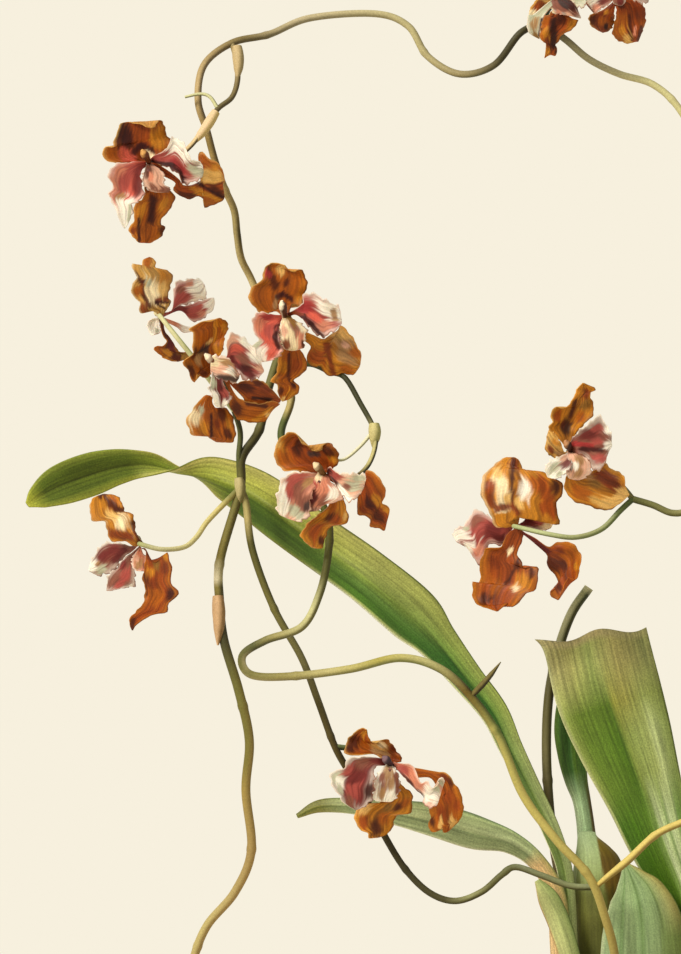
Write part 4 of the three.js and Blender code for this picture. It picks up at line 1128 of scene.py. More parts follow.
SHEATH_THICKNESS = 0.9
SHEATH_LEFT = [
    (-20.5, -25, 113.6, 7.4, 0, -35), (-24.8, -26, 140, 6.4, 0, -35), (-30.2, -26, 158, 6.8, 0, -35),
    (-36, -25.8, 171, 6, 0, -32), (-41.5, -25.5, 180, 1.5, 0, -30),
]
SHEATH_RIGHT = [
    (13.5, -27, 113.4, 25.5, 0, -30), (12.5, -28, 140, 25.5, 0, -30), (11.5, -28, 160, 22, 0, -28),
    (9, -27, 173, 16, 0, -26), (6, -26.5, 181, 8.5, 0, -25), (3, -26, 187.5, 2, 0, -25),
]
SHEATH_OLD = [
    (-2, 24, 113.8, 8, 0, 20), (-3, 21, 150, 8, 0, 20), (-5, 16, 175, 5.5, 0, 20),
    (-8, 13, 190, 1.5, 0, 20),
]
# A living sheath: thin and papery, matt, its pale green shot through with close fibres.
sheath_skin = living_skin("papery_sheath", 1.0, 30, 0.22, 0.2, 0.6, 0.2)
# A dead sheath: dry, brittle and quite matt, brown, and ribbed where the fibres stand out.
husk = living_skin("dry_husk", 0.8, 30, 0.25, 0.2, 0.85, 0.3)
LEFT_TONES = [
    (-1, "#B08A54"), (-0.94, "#C0A86E"), (-0.86, "#B6BA7C"), (-0.3, "#B0B878"), (0.4, "#A2AE6C"),
    (0.8, "#8C9C5A"), (1, "#5E6E38"),
]
RIGHT_TONES = [
    (-1, "#C7D4A4"), (-0.9, "#9DB482"), (-0.6, "#8DA772"), (-0.52, "#6C8A52"), (-0.44, "#96AE7A"),
    (-0.1, "#88A36C"), (-0.04, "#627E46"), (0.06, "#90AA74"), (0.4, "#8AA26A"), (0.46, "#6C8248"),
    (0.54, "#9AA86C"), (0.8, "#9E9C5C"), (0.94, "#888040"), (1, "#5D6C30"),
]
RIGHT_LOW = RIGHT_TONES[:9] + [(0.4, "#7E9658"), (0.54, "#74894A"), (0.8, "#667838"), (1, "#4E5E28")]
HUSK_TONES = [(-1, "#987F25"), (0, "#796215"), (1, "#5A4A18")]
add_blade(
    "left_sheath", "sheath_left", SHEATH_LEFT,
    [(0, LEFT_TONES), (1, LEFT_TONES)], [(0, LEFT_TONES), (1, LEFT_TONES)],
    sheath_skin, 90, 25, SHEATH_THICKNESS,
)
add_blade(
    "right_sheath", "sheath_right", SHEATH_RIGHT,
    [(0, RIGHT_LOW), (0.3, RIGHT_LOW), (0.46, RIGHT_TONES), (1, RIGHT_TONES)],
    [(0, RIGHT_LOW), (1, RIGHT_TONES)],
    sheath_skin, 110, 41, SHEATH_THICKNESS,
)
add_blade(
    "old_sheath", "sheath_old", SHEATH_OLD,
    [(0, HUSK_TONES), (1, HUSK_TONES)], [(0, HUSK_TONES), (1, HUSK_TONES)],
    husk, 90, 21, SHEATH_THICKNESS,
)

# Stub of the older flower stem.
# Dark and woody, cut off flat at the top, where its pale pith shows.

STUB_ROUTE = [
    (-30, 4, 105), (-26, 2, 155), (-30, -5, 180), (-34, -8, 205), (-36.5, -5, 240), (-35.5, 0, 270),
    (-31, 10, 292.5), (-24, 12, 312.5), (-15, 12, 326),
]
STUB_RADIUS = (2.4, 2.45)
STUB_LIT = [
    (0, "#5A4A30"), (0.5, "#5A5030"), (0.6, "#66603A"), (0.73, "#544E24"), (0.93, "#9A9870"),
    (0.985, "#8A8C60"), (1, "#C1C094"),
]
STUB_SHADED = [
    (0, "#2C2014"), (0.6, "#38340E"), (0.73, "#2E2A0C"), (0.93, "#3C3A12"), (0.985, "#343A1E"),
    (1, "#A8A47C"),
]
# The rind of a flower stem: hard and smooth with a dull shine, with the side towards the light painted
# in its lit colour and the other side in its shaded colour, as painted light and shade.
stem_skin = stem_material("flower_stem_skin", 0.55)
stub_line = stem_line(STUB_ROUTE, STUB_RADIUS, STUB_LIT, STUB_SHADED, joints=(0.3, 0.55, 0.8))
stub = grow_stems("cut_stub", [stub_line], stem_skin)
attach(stub, "root")
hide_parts("scape_stub")

# Flower stem.
# One long twining stem with its side branches and a stalk behind every bloom, straw-coloured in
# stretches, painted lighter on the side towards the light and darker on the other as painted shade.
# Papery bracts clasp its joints, and a few buds haven't opened.

MAIN_STEM = [
    (-1, -30, 105), (-2.5, -34, 140), (-8, -40, 162.5), (-16, -46, 182.5), (-32.5, -50, 201),
    (-49, -52, 223.5), (-61, -55, 252.5), (-75, -58, 272.5), (-90, -60, 286), (-110, -62, 291.5),
    (-135, -62, 286), (-165, -58, 282.3), (-184.5, -54, 283.2), (-188.5, -54, 292.5), (-177, -58, 300.2),
    (-159, -62, 307), (-150.3, -64, 323), (-146, -62, 342.5), (-146, -50, 360), (-155, -35, 380),
    (-169.2, -20, 400.4), (-164.5, -18, 420), (-167.5, -8, 437.5), (-176, 0, 460), (-184.2, 0, 480),
    (-189.5, -3, 491), (-191.5, -6, 503), (-193, -8, 515), (-198, -11, 526.5), (-202.8, -14, 540.5),
    (-206.6, -15, 554.8), (-211, -15, 570), (-208, -10, 587.8), (-194, -5, 599), (-175.5, 0, 603.4),
    (-155, 5, 611.7), (-122.5, 10, 614), (-105.8, 10, 607.8), (-96, 8, 592.6), (-80, 0, 583.5),
    (-62.8, -8, 587.8), (-49.4, -10, 604), (-37.5, 0, 607.5), (-27, 5, 601), (-15, 5, 591), (0, 0, 583.5),
    (17, -5, 578), (30.5, -8, 565), (42.5, -12, 540), (55, -20, 500), (62.5, -28, 455), (62.5, -34, 410),
    (51, -38, 380), (35, -40, 366), (26, -40, 363.5), (16, -40, 367.5), (6, -40, 370.5),
]
HANGING_STEM = [
    (-170, -5.5, 445), (-176, -14, 425), (-180.4, -19, 405), (-189, -24, 391), (-190, -24, 375),
    (-199.9, -26, 340), (-200.2, -26, 320), (-198, -28, 300), (-190.6, -30, 275), (-185.3, -30, 250),
    (-187, -28, 225), (-184.3, -24, 195), (-192.4, -20, 174.2), (-206, -16, 157.8), (-212.5, -12, 143),
    (-217, -8, 125), (-215, -5, 105),
]
LOWER_BRANCH = [
    (-190, -24, 376), (-187, -24, 368), (-183.7, -28, 345), (-173, -32, 316), (-159.2, -36, 291.3),
    (-151, -40, 270), (-142.5, -42, 247), (-134, -40, 232), (-125, -38, 217), (-117.5, -37, 202),
    (-107.5, -38, 186), (-95.4, -40, 174.2), (-82.5, -42, 170.1), (-69.3, -42, 174.7), (-59.4, -42, 183.1),
    (-52.5, -42, 187), (-40, -40, 183), (-25, -38, 177.5), (-12, -36.5, 176.8),
]
RIGHT_BRANCH = [
    (-12.4, -43.6, 177.2), (-7.4, -46.4, 181.6), (3.5, -48, 190.5), (17, -49, 203), (30.5, -49, 209.5),
    (45, -48, 215), (60, -46, 221.5),
]
CURLING_TWIG = [(-201, -24, 565.5), (-205, -22, 571.5), (-210, -21, 573), (-217.5, -20, 571.5)]
PALE_TWIG = [(-123, -48, 405), (-129.7, -50, 397), (-137.5, -52, 390.5), (-143.5, -56, 390)]
STALKS = [
    [(-194, -5, 599), (-191.8, -10, 590), (-191.3, -14, 580), (-194.1, -18, 571.4), (-201, -24, 565.5),
     (-207.5, -28, 556.5), (-214, -30, 547.5), (-222, -27, 541), (-231, -25, 537.5)],
    [(-193, -34, 415), (-205, -42, 430), (-214, -46, 442), (-222, -46, 452)],
    [(-190, -24, 380), (-190.5, -25, 392), (-190, -26, 405), (-195, -40, 420)],
    [(-170, -5.5, 445), (-168, -16, 456)],
    [(-167, -10, 436), (-155, -20, 438), (-145, -30, 434), (-137.5, -36, 431), (-130, -42, 418.5),
     (-123, -48, 405), (-122.8, -52, 395.3), (-127, -56, 386), (-134.5, -62, 381)],
    [(-190, -24, 376), (-200, -28, 366), (-206.8, -33, 358.6), (-211.8, -38, 351.3), (-218, -43, 346.5),
     (-229, -48, 345.5)],
    [(-142.5, -42, 247), (-132, -40, 246), (-120, -44, 246)],
    [(6, -40, 370.5), (0, -42, 365), (-9.7, -46, 355.5), (-22.5, -50, 351.5), (-36, -51, 353)],
    [(6, -40, 370.5), (0.8, -36, 376.8), (-10, -32, 388)],
    [(-37.5, 0, 607.5), (-36, -8, 615)],
    [(-36, -8, 615), (-28, -8, 632), (-12, -10, 638)],
]
BLOOM_CENTRES = [
    (-235.3, -35, 538.5), (-229.4, -30, 461.3), (-199, -78, 434), (-167.5, -45, 460.3), (-147.5, -82, 382),
    (-239.2, -38, 348), (-114.2, -60, 238), (-52.1, -35, 356.7), (-25, -52, 394), (-30.7, -30, 620),
    (-2.4, -25, 621),
]
BLOOMS_FROM_BEHIND = (2, 6, 8)
STALK_END_DEPTHS = (11, 3.3)
MAIN_RADIUS = (2.2, 2.1, 1.9, 1.8, 1.8, 1.7)
HANGING_RADIUS = (2.2, 2.4, 2.1)
BRANCH_RADIUS = (1.9, 1.6)
RIGHT_BRANCH_RADIUS = (1.2, 2, 1.9, 1.8, 1.7, 1.6)
STALK_RADIUS = (1.5, 1.15)
TWIG_RADIUS = (1, 0.7)
STALK_STEP = 0.9
BUD_STEP = 0.6
BUD_BEND = (0, -0.6, 0)
BRACT_BEND = (0.6, -0.8, 0)
BUD_GIRTHS = (1.0, 2.1, 3.2, 3.7, 3.6, 2.6, 0.8)
BRACT_GIRTHS = (0.8, 0.95, 1.0, 0.92, 0.8, 0.5, 0.15)
BUDS = [
    ((-215.3, -5.5, 108), (-213, -3, 94)), ((58, -46.3, 220.5), (70, -45, 227.5)),
    ((44, -48, 214.5), (50, -52, 226)), ((-143, -56, 390), (-149, -59, 393)),
]
BRACTS = [
    ((-201, -27, 322), (-201, -30, 297.5), 3.4, "#C9A478", "#8A6A40"),
    ((-123, -48, 408), (-123.5, -49, 396), 3.2, "#C9BE80", "#8A864C"),
    ((-191.5, -9, 597), (-191.3, -14, 580), 3, "#C4AC7C", "#8A7A50"),
    ((-202, -25, 564), (-214, -30, 547), 2.7, "#E1C498", "#AF985E"),
    ((-75, -58, 272), (-60, -62, 289.5), 1.6, "#6E6230", "#332C14"),
    ((-190.5, -25, 381), (-190, -25, 368), 2.8, "#B9AC78", "#6E6638"),
]
# Colours along each stem by share of its length, on the lit side and on the shaded one. They were
# listed to follow colours measured on the plate near those places.
MAIN_LIT = [
    (0, "#A89A58"), (0.1, "#BDB060"), (0.14, "#A8A056"), (0.16, "#7A6422"), (0.18, "#C4BC80"),
    (0.2, "#A69C48"), (0.22, "#B8AE72"), (0.24, "#8E8448"), (0.27, "#52542A"), (0.28, "#988E54"),
    (0.3, "#C4C08A"), (0.315, "#545224"), (0.34, "#4E5010"), (0.38, "#4A5A2A"), (0.395, "#5A6432"),
    (0.4, "#B4A468"), (0.46, "#D0BE84"), (0.49, "#B8A86C"), (0.505, "#D0B67A"), (0.52, "#8A7640"),
    (0.545, "#BCA270"), (0.575, "#78693E"), (0.6, "#B8AA84"), (0.65, "#BAB07E"), (0.68, "#92845A"),
    (0.7, "#443F24"), (0.73, "#4C4A30"), (0.76, "#A09870"), (0.78, "#C4BE86"), (0.95, "#A8A068"),
    (1, "#5E6032"),
]
MAIN_SHADED = [
    (0, "#8E7A3A"), (0.11, "#A89A50"), (0.14, "#56622A"), (0.16, "#372E08"), (0.18, "#7A7E44"),
    (0.24, "#857B4C"), (0.26, "#A09668"), (0.27, "#48482C"), (0.29, "#6E683A"), (0.315, "#3E3E14"),
    (0.34, "#3E3A08"), (0.395, "#2E3A18"), (0.4, "#5C5020"), (0.47, "#7A6838"), (0.48, "#3A3208"),
    (0.5, "#8A7848"), (0.515, "#4E401C"), (0.55, "#6E5E42"), (0.58, "#564C2C"), (0.6, "#847A5C"),
    (0.65, "#9A9064"), (0.7, "#302C10"), (0.73, "#2C2408"), (0.77, "#B0A678"), (0.95, "#7A7440"),
    (1, "#3A3A12"),
]
HANGING_LIT = [
    (0, "#6E6E3A"), (0.12, "#66602E"), (0.16, "#3A3614"), (0.2, "#6E6C38"), (0.31, "#7E7234"),
    (0.34, "#DCD2AE"), (0.35, "#84783C"), (0.42, "#403E22"), (0.5, "#6A662C"), (0.6, "#746A2E"),
    (0.64, "#9A8444"), (0.73, "#9C8450"), (0.85, "#B4A468"), (1, "#B0A068"),
]
HANGING_SHADED = [
    (0, "#33300C"), (0.16, "#2A2606"), (0.31, "#5E5628"), (0.34, "#A89E74"), (0.35, "#4A4420"),
    (0.42, "#3C381E"), (0.5, "#6A6028"), (0.73, "#9A8048"), (1, "#8E7C48"),
]
LOWER_LIT = [
    (0, "#8E8A54"), (0.05, "#B4A468"), (0.09, "#54501E"), (0.2, "#6A642E"), (0.3, "#5E5830"),
    (0.36, "#463E14"), (0.44, "#4C4014"), (0.66, "#332E10"), (0.74, "#454020"), (0.78, "#8A8A5A"),
    (0.82, "#5E5C30"), (0.86, "#5E6038"), (0.88, "#8A9070"), (0.93, "#8E9468"), (1, "#8A9068"),
]
LOWER_SHADED = [
    (0, "#4A4618"), (0.05, "#8A7E48"), (0.09, "#3A3A12"), (0.3, "#5A5430"), (0.44, "#33290A"),
    (0.66, "#2A250C"), (0.8, "#4E4C28"), (0.9, "#5A5A34"), (1, "#4E5230"),
]
STALK_COLOURS = [
    ([(0, "#8A7A4E"), (0.12, "#B8A070"), (0.24, "#7A6A40"), (0.4, "#6E6440"), (0.5, "#5A4828"),
      (0.6, "#D9C08C"), (1, "#E4CC9C")],
     "#4A3E20"),
    ("#CFCB98", "#9AA068"),
    ("#565A2E", "#2E300F"),
    ("#6F7A4C", "#232E16"),
    ([(0, "#4A4C26"), (0.34, "#33341A"), (0.5, "#3E3E1E"), (0.64, "#C2B878"), (0.7, "#C2B878"),
      (0.78, "#5A4C2A"), (1, "#A8966C")],
     "#2A2A0E"),
    ([(0, "#6A6C34"), (0.1, "#8A8648"), (0.2, "#CDBE78"), (0.6, "#C9C088"), (0.8, "#CEC898"),
      (0.9, "#A0A266"), (1, "#B0B480")],
     [(0, "#4A4A1C"), (0.2, "#B0A058"), (0.8, "#A8A478"), (1, "#6E6E34")]),
    ("#6F7A4C", "#2E3616"),
    ([(0, "#4E5A2A"), (0.14, "#5E6A3A"), (0.2, "#8E9466"), (0.45, "#9A9C6A"), (0.72, "#B4BC88"),
      (1, "#A0A870")],
     [(0, "#2E3814"), (0.2, "#56602E"), (0.5, "#6E7448"), (1, "#5E6434")]),
    ("#6E6A3A", "#3E3C14"),
    ("#6F7A4C", "#232E16"),
    ("#6F7A4C", "#232E16"),
]

stem_lines = [
    stem_line(
        MAIN_STEM, MAIN_RADIUS, MAIN_LIT, MAIN_SHADED,
        joints=(0.07, 0.14, 0.235, 0.33, 0.405, 0.5, 0.585, 0.66, 0.72, 0.79, 0.86, 0.93),
    ),
    stem_line(
        HANGING_STEM, HANGING_RADIUS, HANGING_LIT, HANGING_SHADED, joints=(0.12, 0.32, 0.52, 0.72, 0.88)
    ),
    stem_line(LOWER_BRANCH, BRANCH_RADIUS, LOWER_LIT, LOWER_SHADED, joints=(0.2, 0.42, 0.66, 0.85)),
    stem_line(RIGHT_BRANCH, RIGHT_BRANCH_RADIUS, "#D1BC68", "#8E7A3C", joints=(0.45, 0.78)),
    stem_line(CURLING_TWIG, TWIG_RADIUS, "#C9C794", "#6A6A40"),
    stem_line(PALE_TWIG, TWIG_RADIUS, "#E0DCB8", "#9A9A74"),
]
for number, (route, (lit, shaded)) in enumerate(zip(STALKS, STALK_COLOURS), 1):
    x, y, z = BLOOM_CENTRES[number - 1]
    away = -1 if number in BLOOMS_FROM_BEHIND else 1
    ends = [(x, y + away * depth, z) for depth in STALK_END_DEPTHS]
    stem_lines.append(stem_line(route + ends, STALK_RADIUS, lit, shaded, step=STALK_STEP))
for foot, tip in BUDS:
    middle = tuple(np.add(foot, tip) / 2 + BUD_BEND)
    stem_lines.append(stem_line([foot, middle, tip], BUD_GIRTHS, "#B7BE86", "#6A6E3A", step=BUD_STEP))
for foot, tip, radius, lit, shaded in BRACTS:
    middle = tuple(np.add(foot, tip) / 2 + BRACT_BEND)
    girths = [radius * girth for girth in BRACT_GIRTHS]
    stem_lines.append(stem_line([foot, middle, tip], girths, lit, shaded, step=BUD_STEP))
flower_stem = grow_stems("twining_flower_stem", stem_lines, stem_skin)
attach(flower_stem, "root")
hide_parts("scape")

# Blooms.
# Each has three clawed brown sepals, crisped at their margins, two pink and white petals in front
# of them, and a small lip and column. All spring from one point at the end of a stalk.

ORGAN_ROWS = 56
ORGAN_COLUMNS = 33
ORGAN_THICKNESS = 0.6
ORGAN_THINNING = 0.4
HUB_RADIUS = 2.8
HUB_FADE = 5
# The flowers' pigments, tuned to the plate's mean colours where they lie, the deep ones kept darker.
# Among them sage is the grey-green of painted shade on white and cream parts, laid as patches and over the
# whole of the two petals of the left bloom at the top.
TONES = {
    "rust": "#96420A", "orange": "#A4540A", "amber": "#BE7A1C", "ochre": "#CFA052", "gold": "#E2B466",
    "cream": "#F1DDB0", "umber": "#4A1A04", "brown": "#742E06", "plum": "#360C08", "maroon": "#6C2420",
    "crimson": "#A02E2C", "rose": "#A64A40", "coral": "#D8604C", "salmon": "#DA8868", "pink": "#CC8468",
    "blush": "#E4AE90", "mauve": "#85503E", "white": "#FAF4E2", "sage": "#B6B698", "slate": "#40302C",
    "tan": "#A57C4E", "olive": "#845C22", "night": "#260A06", "wine": "#5A1A18",
}
TONES = {name: np.array(linear(colour)[:3]) for name, colour in TONES.items()}

# Each kind, in mm: how far its root, foot, tip and arch stand forward, its cup and its margin's wave,
# the number of waves, its ripple, its light and dark tones, used in its washes and for the painted
# highlight and painted shade on its rim, and the tone of its other side.
KINDS = {
    "upper": (-1.5, -1, 2, -3, 3, 2.3, 1.6, 0.8, "gold", "umber", "ochre"),
    "side": (-1.5, 0, -5, 3, -2.2, 2.2, 1.4, 0.8, "gold", "umber", "ochre"),
    "flat": (-1.5, 3, -1, 3, -1.5, 1.6, 1.4, 0.7, "gold", "umber", "ochre"),
    "petal": (1.7, 3, 3, 3, 2.2, 2.0, 2.0, 0.7, "white", "mauve", "blush"),
    "lip": (1.7, 3, 0.5, 4.5, -1.8, 0.7, 1.0, 0.3, "white", "mauve", "blush"),
    "reverse": (-1.5, -1, 2, -3, 3, 2.3, 1.6, 0.8, "cream", "umber", "rust"),
    "reverse_side": (-1.5, 0, -5, 3, -2.2, 2.2, 1.4, 0.8, "amber", "umber", "rust"),
    "reverse_petal": (1.7, 6, 7, 3, 2.2, 2.0, 2.0, 0.7, "white", "maroon", "pink"),
}
MARGIN_SQUEEZE = 0.5
FRAY = {"sepals": 0.3, "petals": 0.6}
FRAY_WAVES = ((7.3, 0.37, 0, 1), (13.7, 0.9, 0.3, 0.7))
FRAY_EDGE = 8
FRAYED_WIDTHS = (4, 12)
WIDE_OPEN = 16
SEED_SHIFT = 0.37
SIDE_SHIFT = 0.4
WAVE_EDGE = 1.4
RIPPLE_EDGE = 3
RIPPLES = 5.3
RIPPLE_SHIFT = 1.3
PLEATS = 3
PLEAT_TWIST = 0.6
PLEAT_SHARE = 0.25


def part_of(kind):
    """Whether a kind belongs to a bloom's brown sepals or to its petals."""
    return "petals" if "petal" in kind or kind == "lip" else "sepals"


def wave(turns):
    """A sine wave after this many turns."""
    return np.sin(2 * math.pi * turns)


def organ_points(centre, turn, behind, kind, left, right, t, v, seed):
    """An organ's points between its margins, from its foot at t 0 to its tip at t 1.

    v runs from the right margin at -1 to the left one at 1."""
    root, foot, tip, arch, cup, edge_wave, waves, ripple = KINDS[kind][:8]
    reach = np.linalg.norm(left - right, axis=1)[:, None]
    side = np.sign(v)
    fray = sum(
        share * wave(count * t + shift * seed + sided * side) for count, shift, sided, share in FRAY_WAVES
    )
    fray = FRAY[part_of(kind)] * fray * np.abs(v) ** FRAY_EDGE * side * soft_step(reach, *FRAYED_WIDTHS)
    drawn = ((left + right) / 2)[:, None] + v[..., None] * ((left - right) / 2)[:, None]
    drawn = drawn + fray[..., None] * ((left - right) / np.maximum(reach, 1e-6))[:, None]
    x, z = drawn[..., 0], drawn[..., 1]
    phase = SEED_SHIFT * seed + np.where(v > 0, SIDE_SHIFT, 0)
    spring = foot * (1 - t) * np.minimum(1, 6 * t) + tip * t + 4 * arch * t * (1 - t)
    margin = cup * v * v + edge_wave * np.abs(v) ** WAVE_EDGE * wave(waves * t + phase)
    crisp = ripple * np.abs(v) ** RIPPLE_EDGE * wave(RIPPLES * t + RIPPLE_SHIFT * phase)
    crisp = crisp + PLEAT_SHARE * ripple * wave(PLEATS * v + PLEAT_TWIST * t + phase) * t
    open_share = np.minimum(1, reach / WIDE_OPEN) * np.minimum(1, 4 * t)
    forwards = root + spring + open_share * (margin + crisp)
    outside = np.clip((np.hypot(x, z) - HUB_RADIUS) / HUB_FADE, 0, 1)
    lean = outside * (x * math.tan(math.radians(turn[0])) + z * math.tan(math.radians(turn[1])))
    y = centre[1] + (forwards if behind else -forwards) + lean
    return np.stack([centre[0] + x, y, centre[2] + z], -1)


STREAKS = ((7, 2), (13, -3), (23, 4), (41, -5))
PATCH_LENGTHENING = 0.6
PATCH_STRENGTH = 0.95
PATCH_FEATHER = 0.4
PATCH_SPREAD = 1.2
PATCH_EDGE = 6
OUTER_BAND = (0.45, 0.95)
FOOT_BAND = (0.1, 0.4)
END_BAND = (0.72, 1.0)
PETAL_RIM_WASH = 0.42
PETAL_FOOT_WASH = 0.35
SEPAL_RIM_WASH = 0.4
SEPAL_MIDRIB_WASH = 0.45
SEPAL_FOOT_WASH = 0.4
VEIN_STRENGTH = 0.4
RIM_START = 0.88
# A thin rim along each organ's margin is painted dark where the margin faces SHADOW_SIDE, away from the
# light, as painted shade, and pale where it faces the other way, as a painted highlight.
RIM_SHADE = 0.75
RIM_LIGHT = 0.6
SHADOW_SIDE = (0.6, -0.8)
OTHER_SIDE_WASH = 0.6


def nearness(x, z, heading, streaks, patch):
    """How far inside a soft patch each point is, from 0 to 1, feathered along the veins."""
    x1, z1, *rest = patch[1:]
    x2, z2 = rest[:2] if len(rest) > 1 else (x1, z1)
    radius = patch[-1]
    run = (x2 - x1) ** 2 + (z2 - z1) ** 2 or 1
    along = np.clip(((x - x1) * (x2 - x1) + (z - z1) * (z2 - z1)) / run, 0, 1)
    off_x, off_z = x - x1 - along * (x2 - x1), z - z1 - along * (z2 - z1)
    lengthwise = off_x * heading[0] + off_z * heading[1]
    sideways = off_z * heading[0] - off_x * heading[1]
    away = np.hypot(PATCH_LENGTHENING * lengthwise, sideways) * (1 + PATCH_FEATHER * streaks)
    return PATCH_STRENGTH * np.exp(-((away / (PATCH_SPREAD * radius)) ** PATCH_EDGE))


def organ_pigment(x, z, kind, left, right, t, v, tone, patches, seed):
    """An organ's colours: its tone, washed at rim, foot and midrib, then its patches and veins, and last a
    rim of painted shade on its side away from the light and of painted highlight on the other.
    """
    light_rim, dark_rim = KINDS[kind][8:10]
    soft = part_of(kind) == "petals"
    streaks = sum(np.sin(rate * v + bend * t + seed * rate) for rate, bend in STREAKS) / 3
    outer = soft_step(np.abs(v) + 0.12 * streaks, *OUTER_BAND) * soft_step(t, *FOOT_BAND)
    end = soft_step(t + 0.08 * streaks, *END_BAND)
    pigment = np.broadcast_to(TONES[tone], x.shape + (3,))
    if soft:
        pigment = mixed(pigment, TONES[light_rim], PETAL_RIM_WASH * np.maximum(outer, end))
        foot = soft_step(0.1 * streaks - t, -0.3, -0.05)
        pigment = mixed(pigment, TONES["wine"], PETAL_FOOT_WASH * foot)
    else:
        foot = soft_step(0.1 * streaks - t, -0.35, -0.05)
        midrib = soft_step(0.2 * streaks - np.abs(v), -0.35, 0.1)
        pigment = mixed(pigment, TONES["amber"], SEPAL_RIM_WASH * outer)
        pigment = mixed(pigment, TONES[dark_rim], SEPAL_MIDRIB_WASH * midrib)
        pigment = mixed(pigment, TONES[dark_rim], SEPAL_FOOT_WASH * foot)
    along_spine = np.gradient((left + right) / 2, axis=0)
    heading = (along_spine / np.maximum(np.linalg.norm(along_spine, axis=1), 1e-6)[:, None]).T[..., None]
    for patch in patches:
        pigment = mixed(pigment, TONES[patch[0]], nearness(x, z, heading, streaks, patch))
    veins = soft_step(streaks, 0.1, 0.9) * soft_step(-np.abs(v), -0.95, -0.6)
    pigment = mixed(pigment, TONES["wine" if soft else "umber"], VEIN_STRENGTH * veins)
    # Painted shade on the rim that faces away from the light and a painted highlight on the rim that faces
    # it.
    outward = (left - right)[:, None] * np.sign(v)[..., None]
    outward = outward / np.maximum(np.linalg.norm(outward, axis=-1), 1e-6)[..., None]
    shaded = outward @ np.array(SHADOW_SIDE)
    rim = soft_step(np.abs(v) * np.ones_like(t), RIM_START, 1.0) * np.minimum(1, 5 * t)
    pigment = mixed(pigment, TONES[dark_rim], RIM_SHADE * rim * soft_step(shaded, -0.1, 0.5))
    return mixed(pigment, TONES[light_rim], RIM_LIGHT * rim * soft_step(-shaded, -0.1, 0.5))


def organ_sheet(centre, turn, behind, kind, left, right, tone, patches, seed):
    """One sepal, petal or lip between two drawn margins, as the parts of a thin sheet."""
    t = np.linspace(0, 1, ORGAN_ROWS)[:, None]
    v = np.linspace(-1, 1, ORGAN_COLUMNS)[None]
    left, right = (even_path(side, ORGAN_ROWS, MARGIN_SQUEEZE) for side in (left, right))
    points = organ_points(centre, turn, behind, kind, left, right, t, v, seed)
    x, z = points[..., 0] - centre[0], points[..., 2] - centre[2]
    pigment = organ_pigment(x, z, kind, left, right, t, v, tone, patches, seed)
    other_side = mixed(pigment, TONES[KINDS[kind][10]], OTHER_SIDE_WASH * np.ones(x.shape))
    length = np.linalg.norm(np.diff((left + right) / 2, axis=0), axis=1).sum()
    half_width = np.linalg.norm(left - right, axis=1).mean() / 2
    blade = np.stack(np.broadcast_arrays(t * length, v * half_width), -1)
    facing = np.cross(points[:, -1] - points[:, 0], np.gradient(points.mean(1), axis=0))[:, 1].sum()
    if facing >= 0:
        points, pigment, other_side, blade = (part[:, ::-1] for part in (points, pigment, other_side, blade))
    thickness = ORGAN_THICKNESS * (1 - ORGAN_THINNING * v**4) + 0 * t
    return thin_sheet(points, thickness, pigment, other_side, blade)


# Sepals: waxy and a little glossy, varnished brown, with fine veins and a wavy crisped rim.
sepal_skin = living_skin("glossy_brown_sepal", 0.8, 11, 0.3, 0.14, 0.5, 0.22, 0.05)
# Petals: thin, soft and nearly matt, so that a little light comes through their pink and white.
petal_skin = living_skin("soft_pink_petal", 0.8, 9, 0.13, 0.08, 0.6, 0.18, 0.1)

# How far each bloom turns aside and up, in degrees.
BLOOM_TURNS = [
    (10, 0), (38, 10), (22, -8), (5, 0), (-5, -10), (-38, -12), (0, -10), (-10, 0), (12, 0), (-10, 0),
    (10, 0),
]
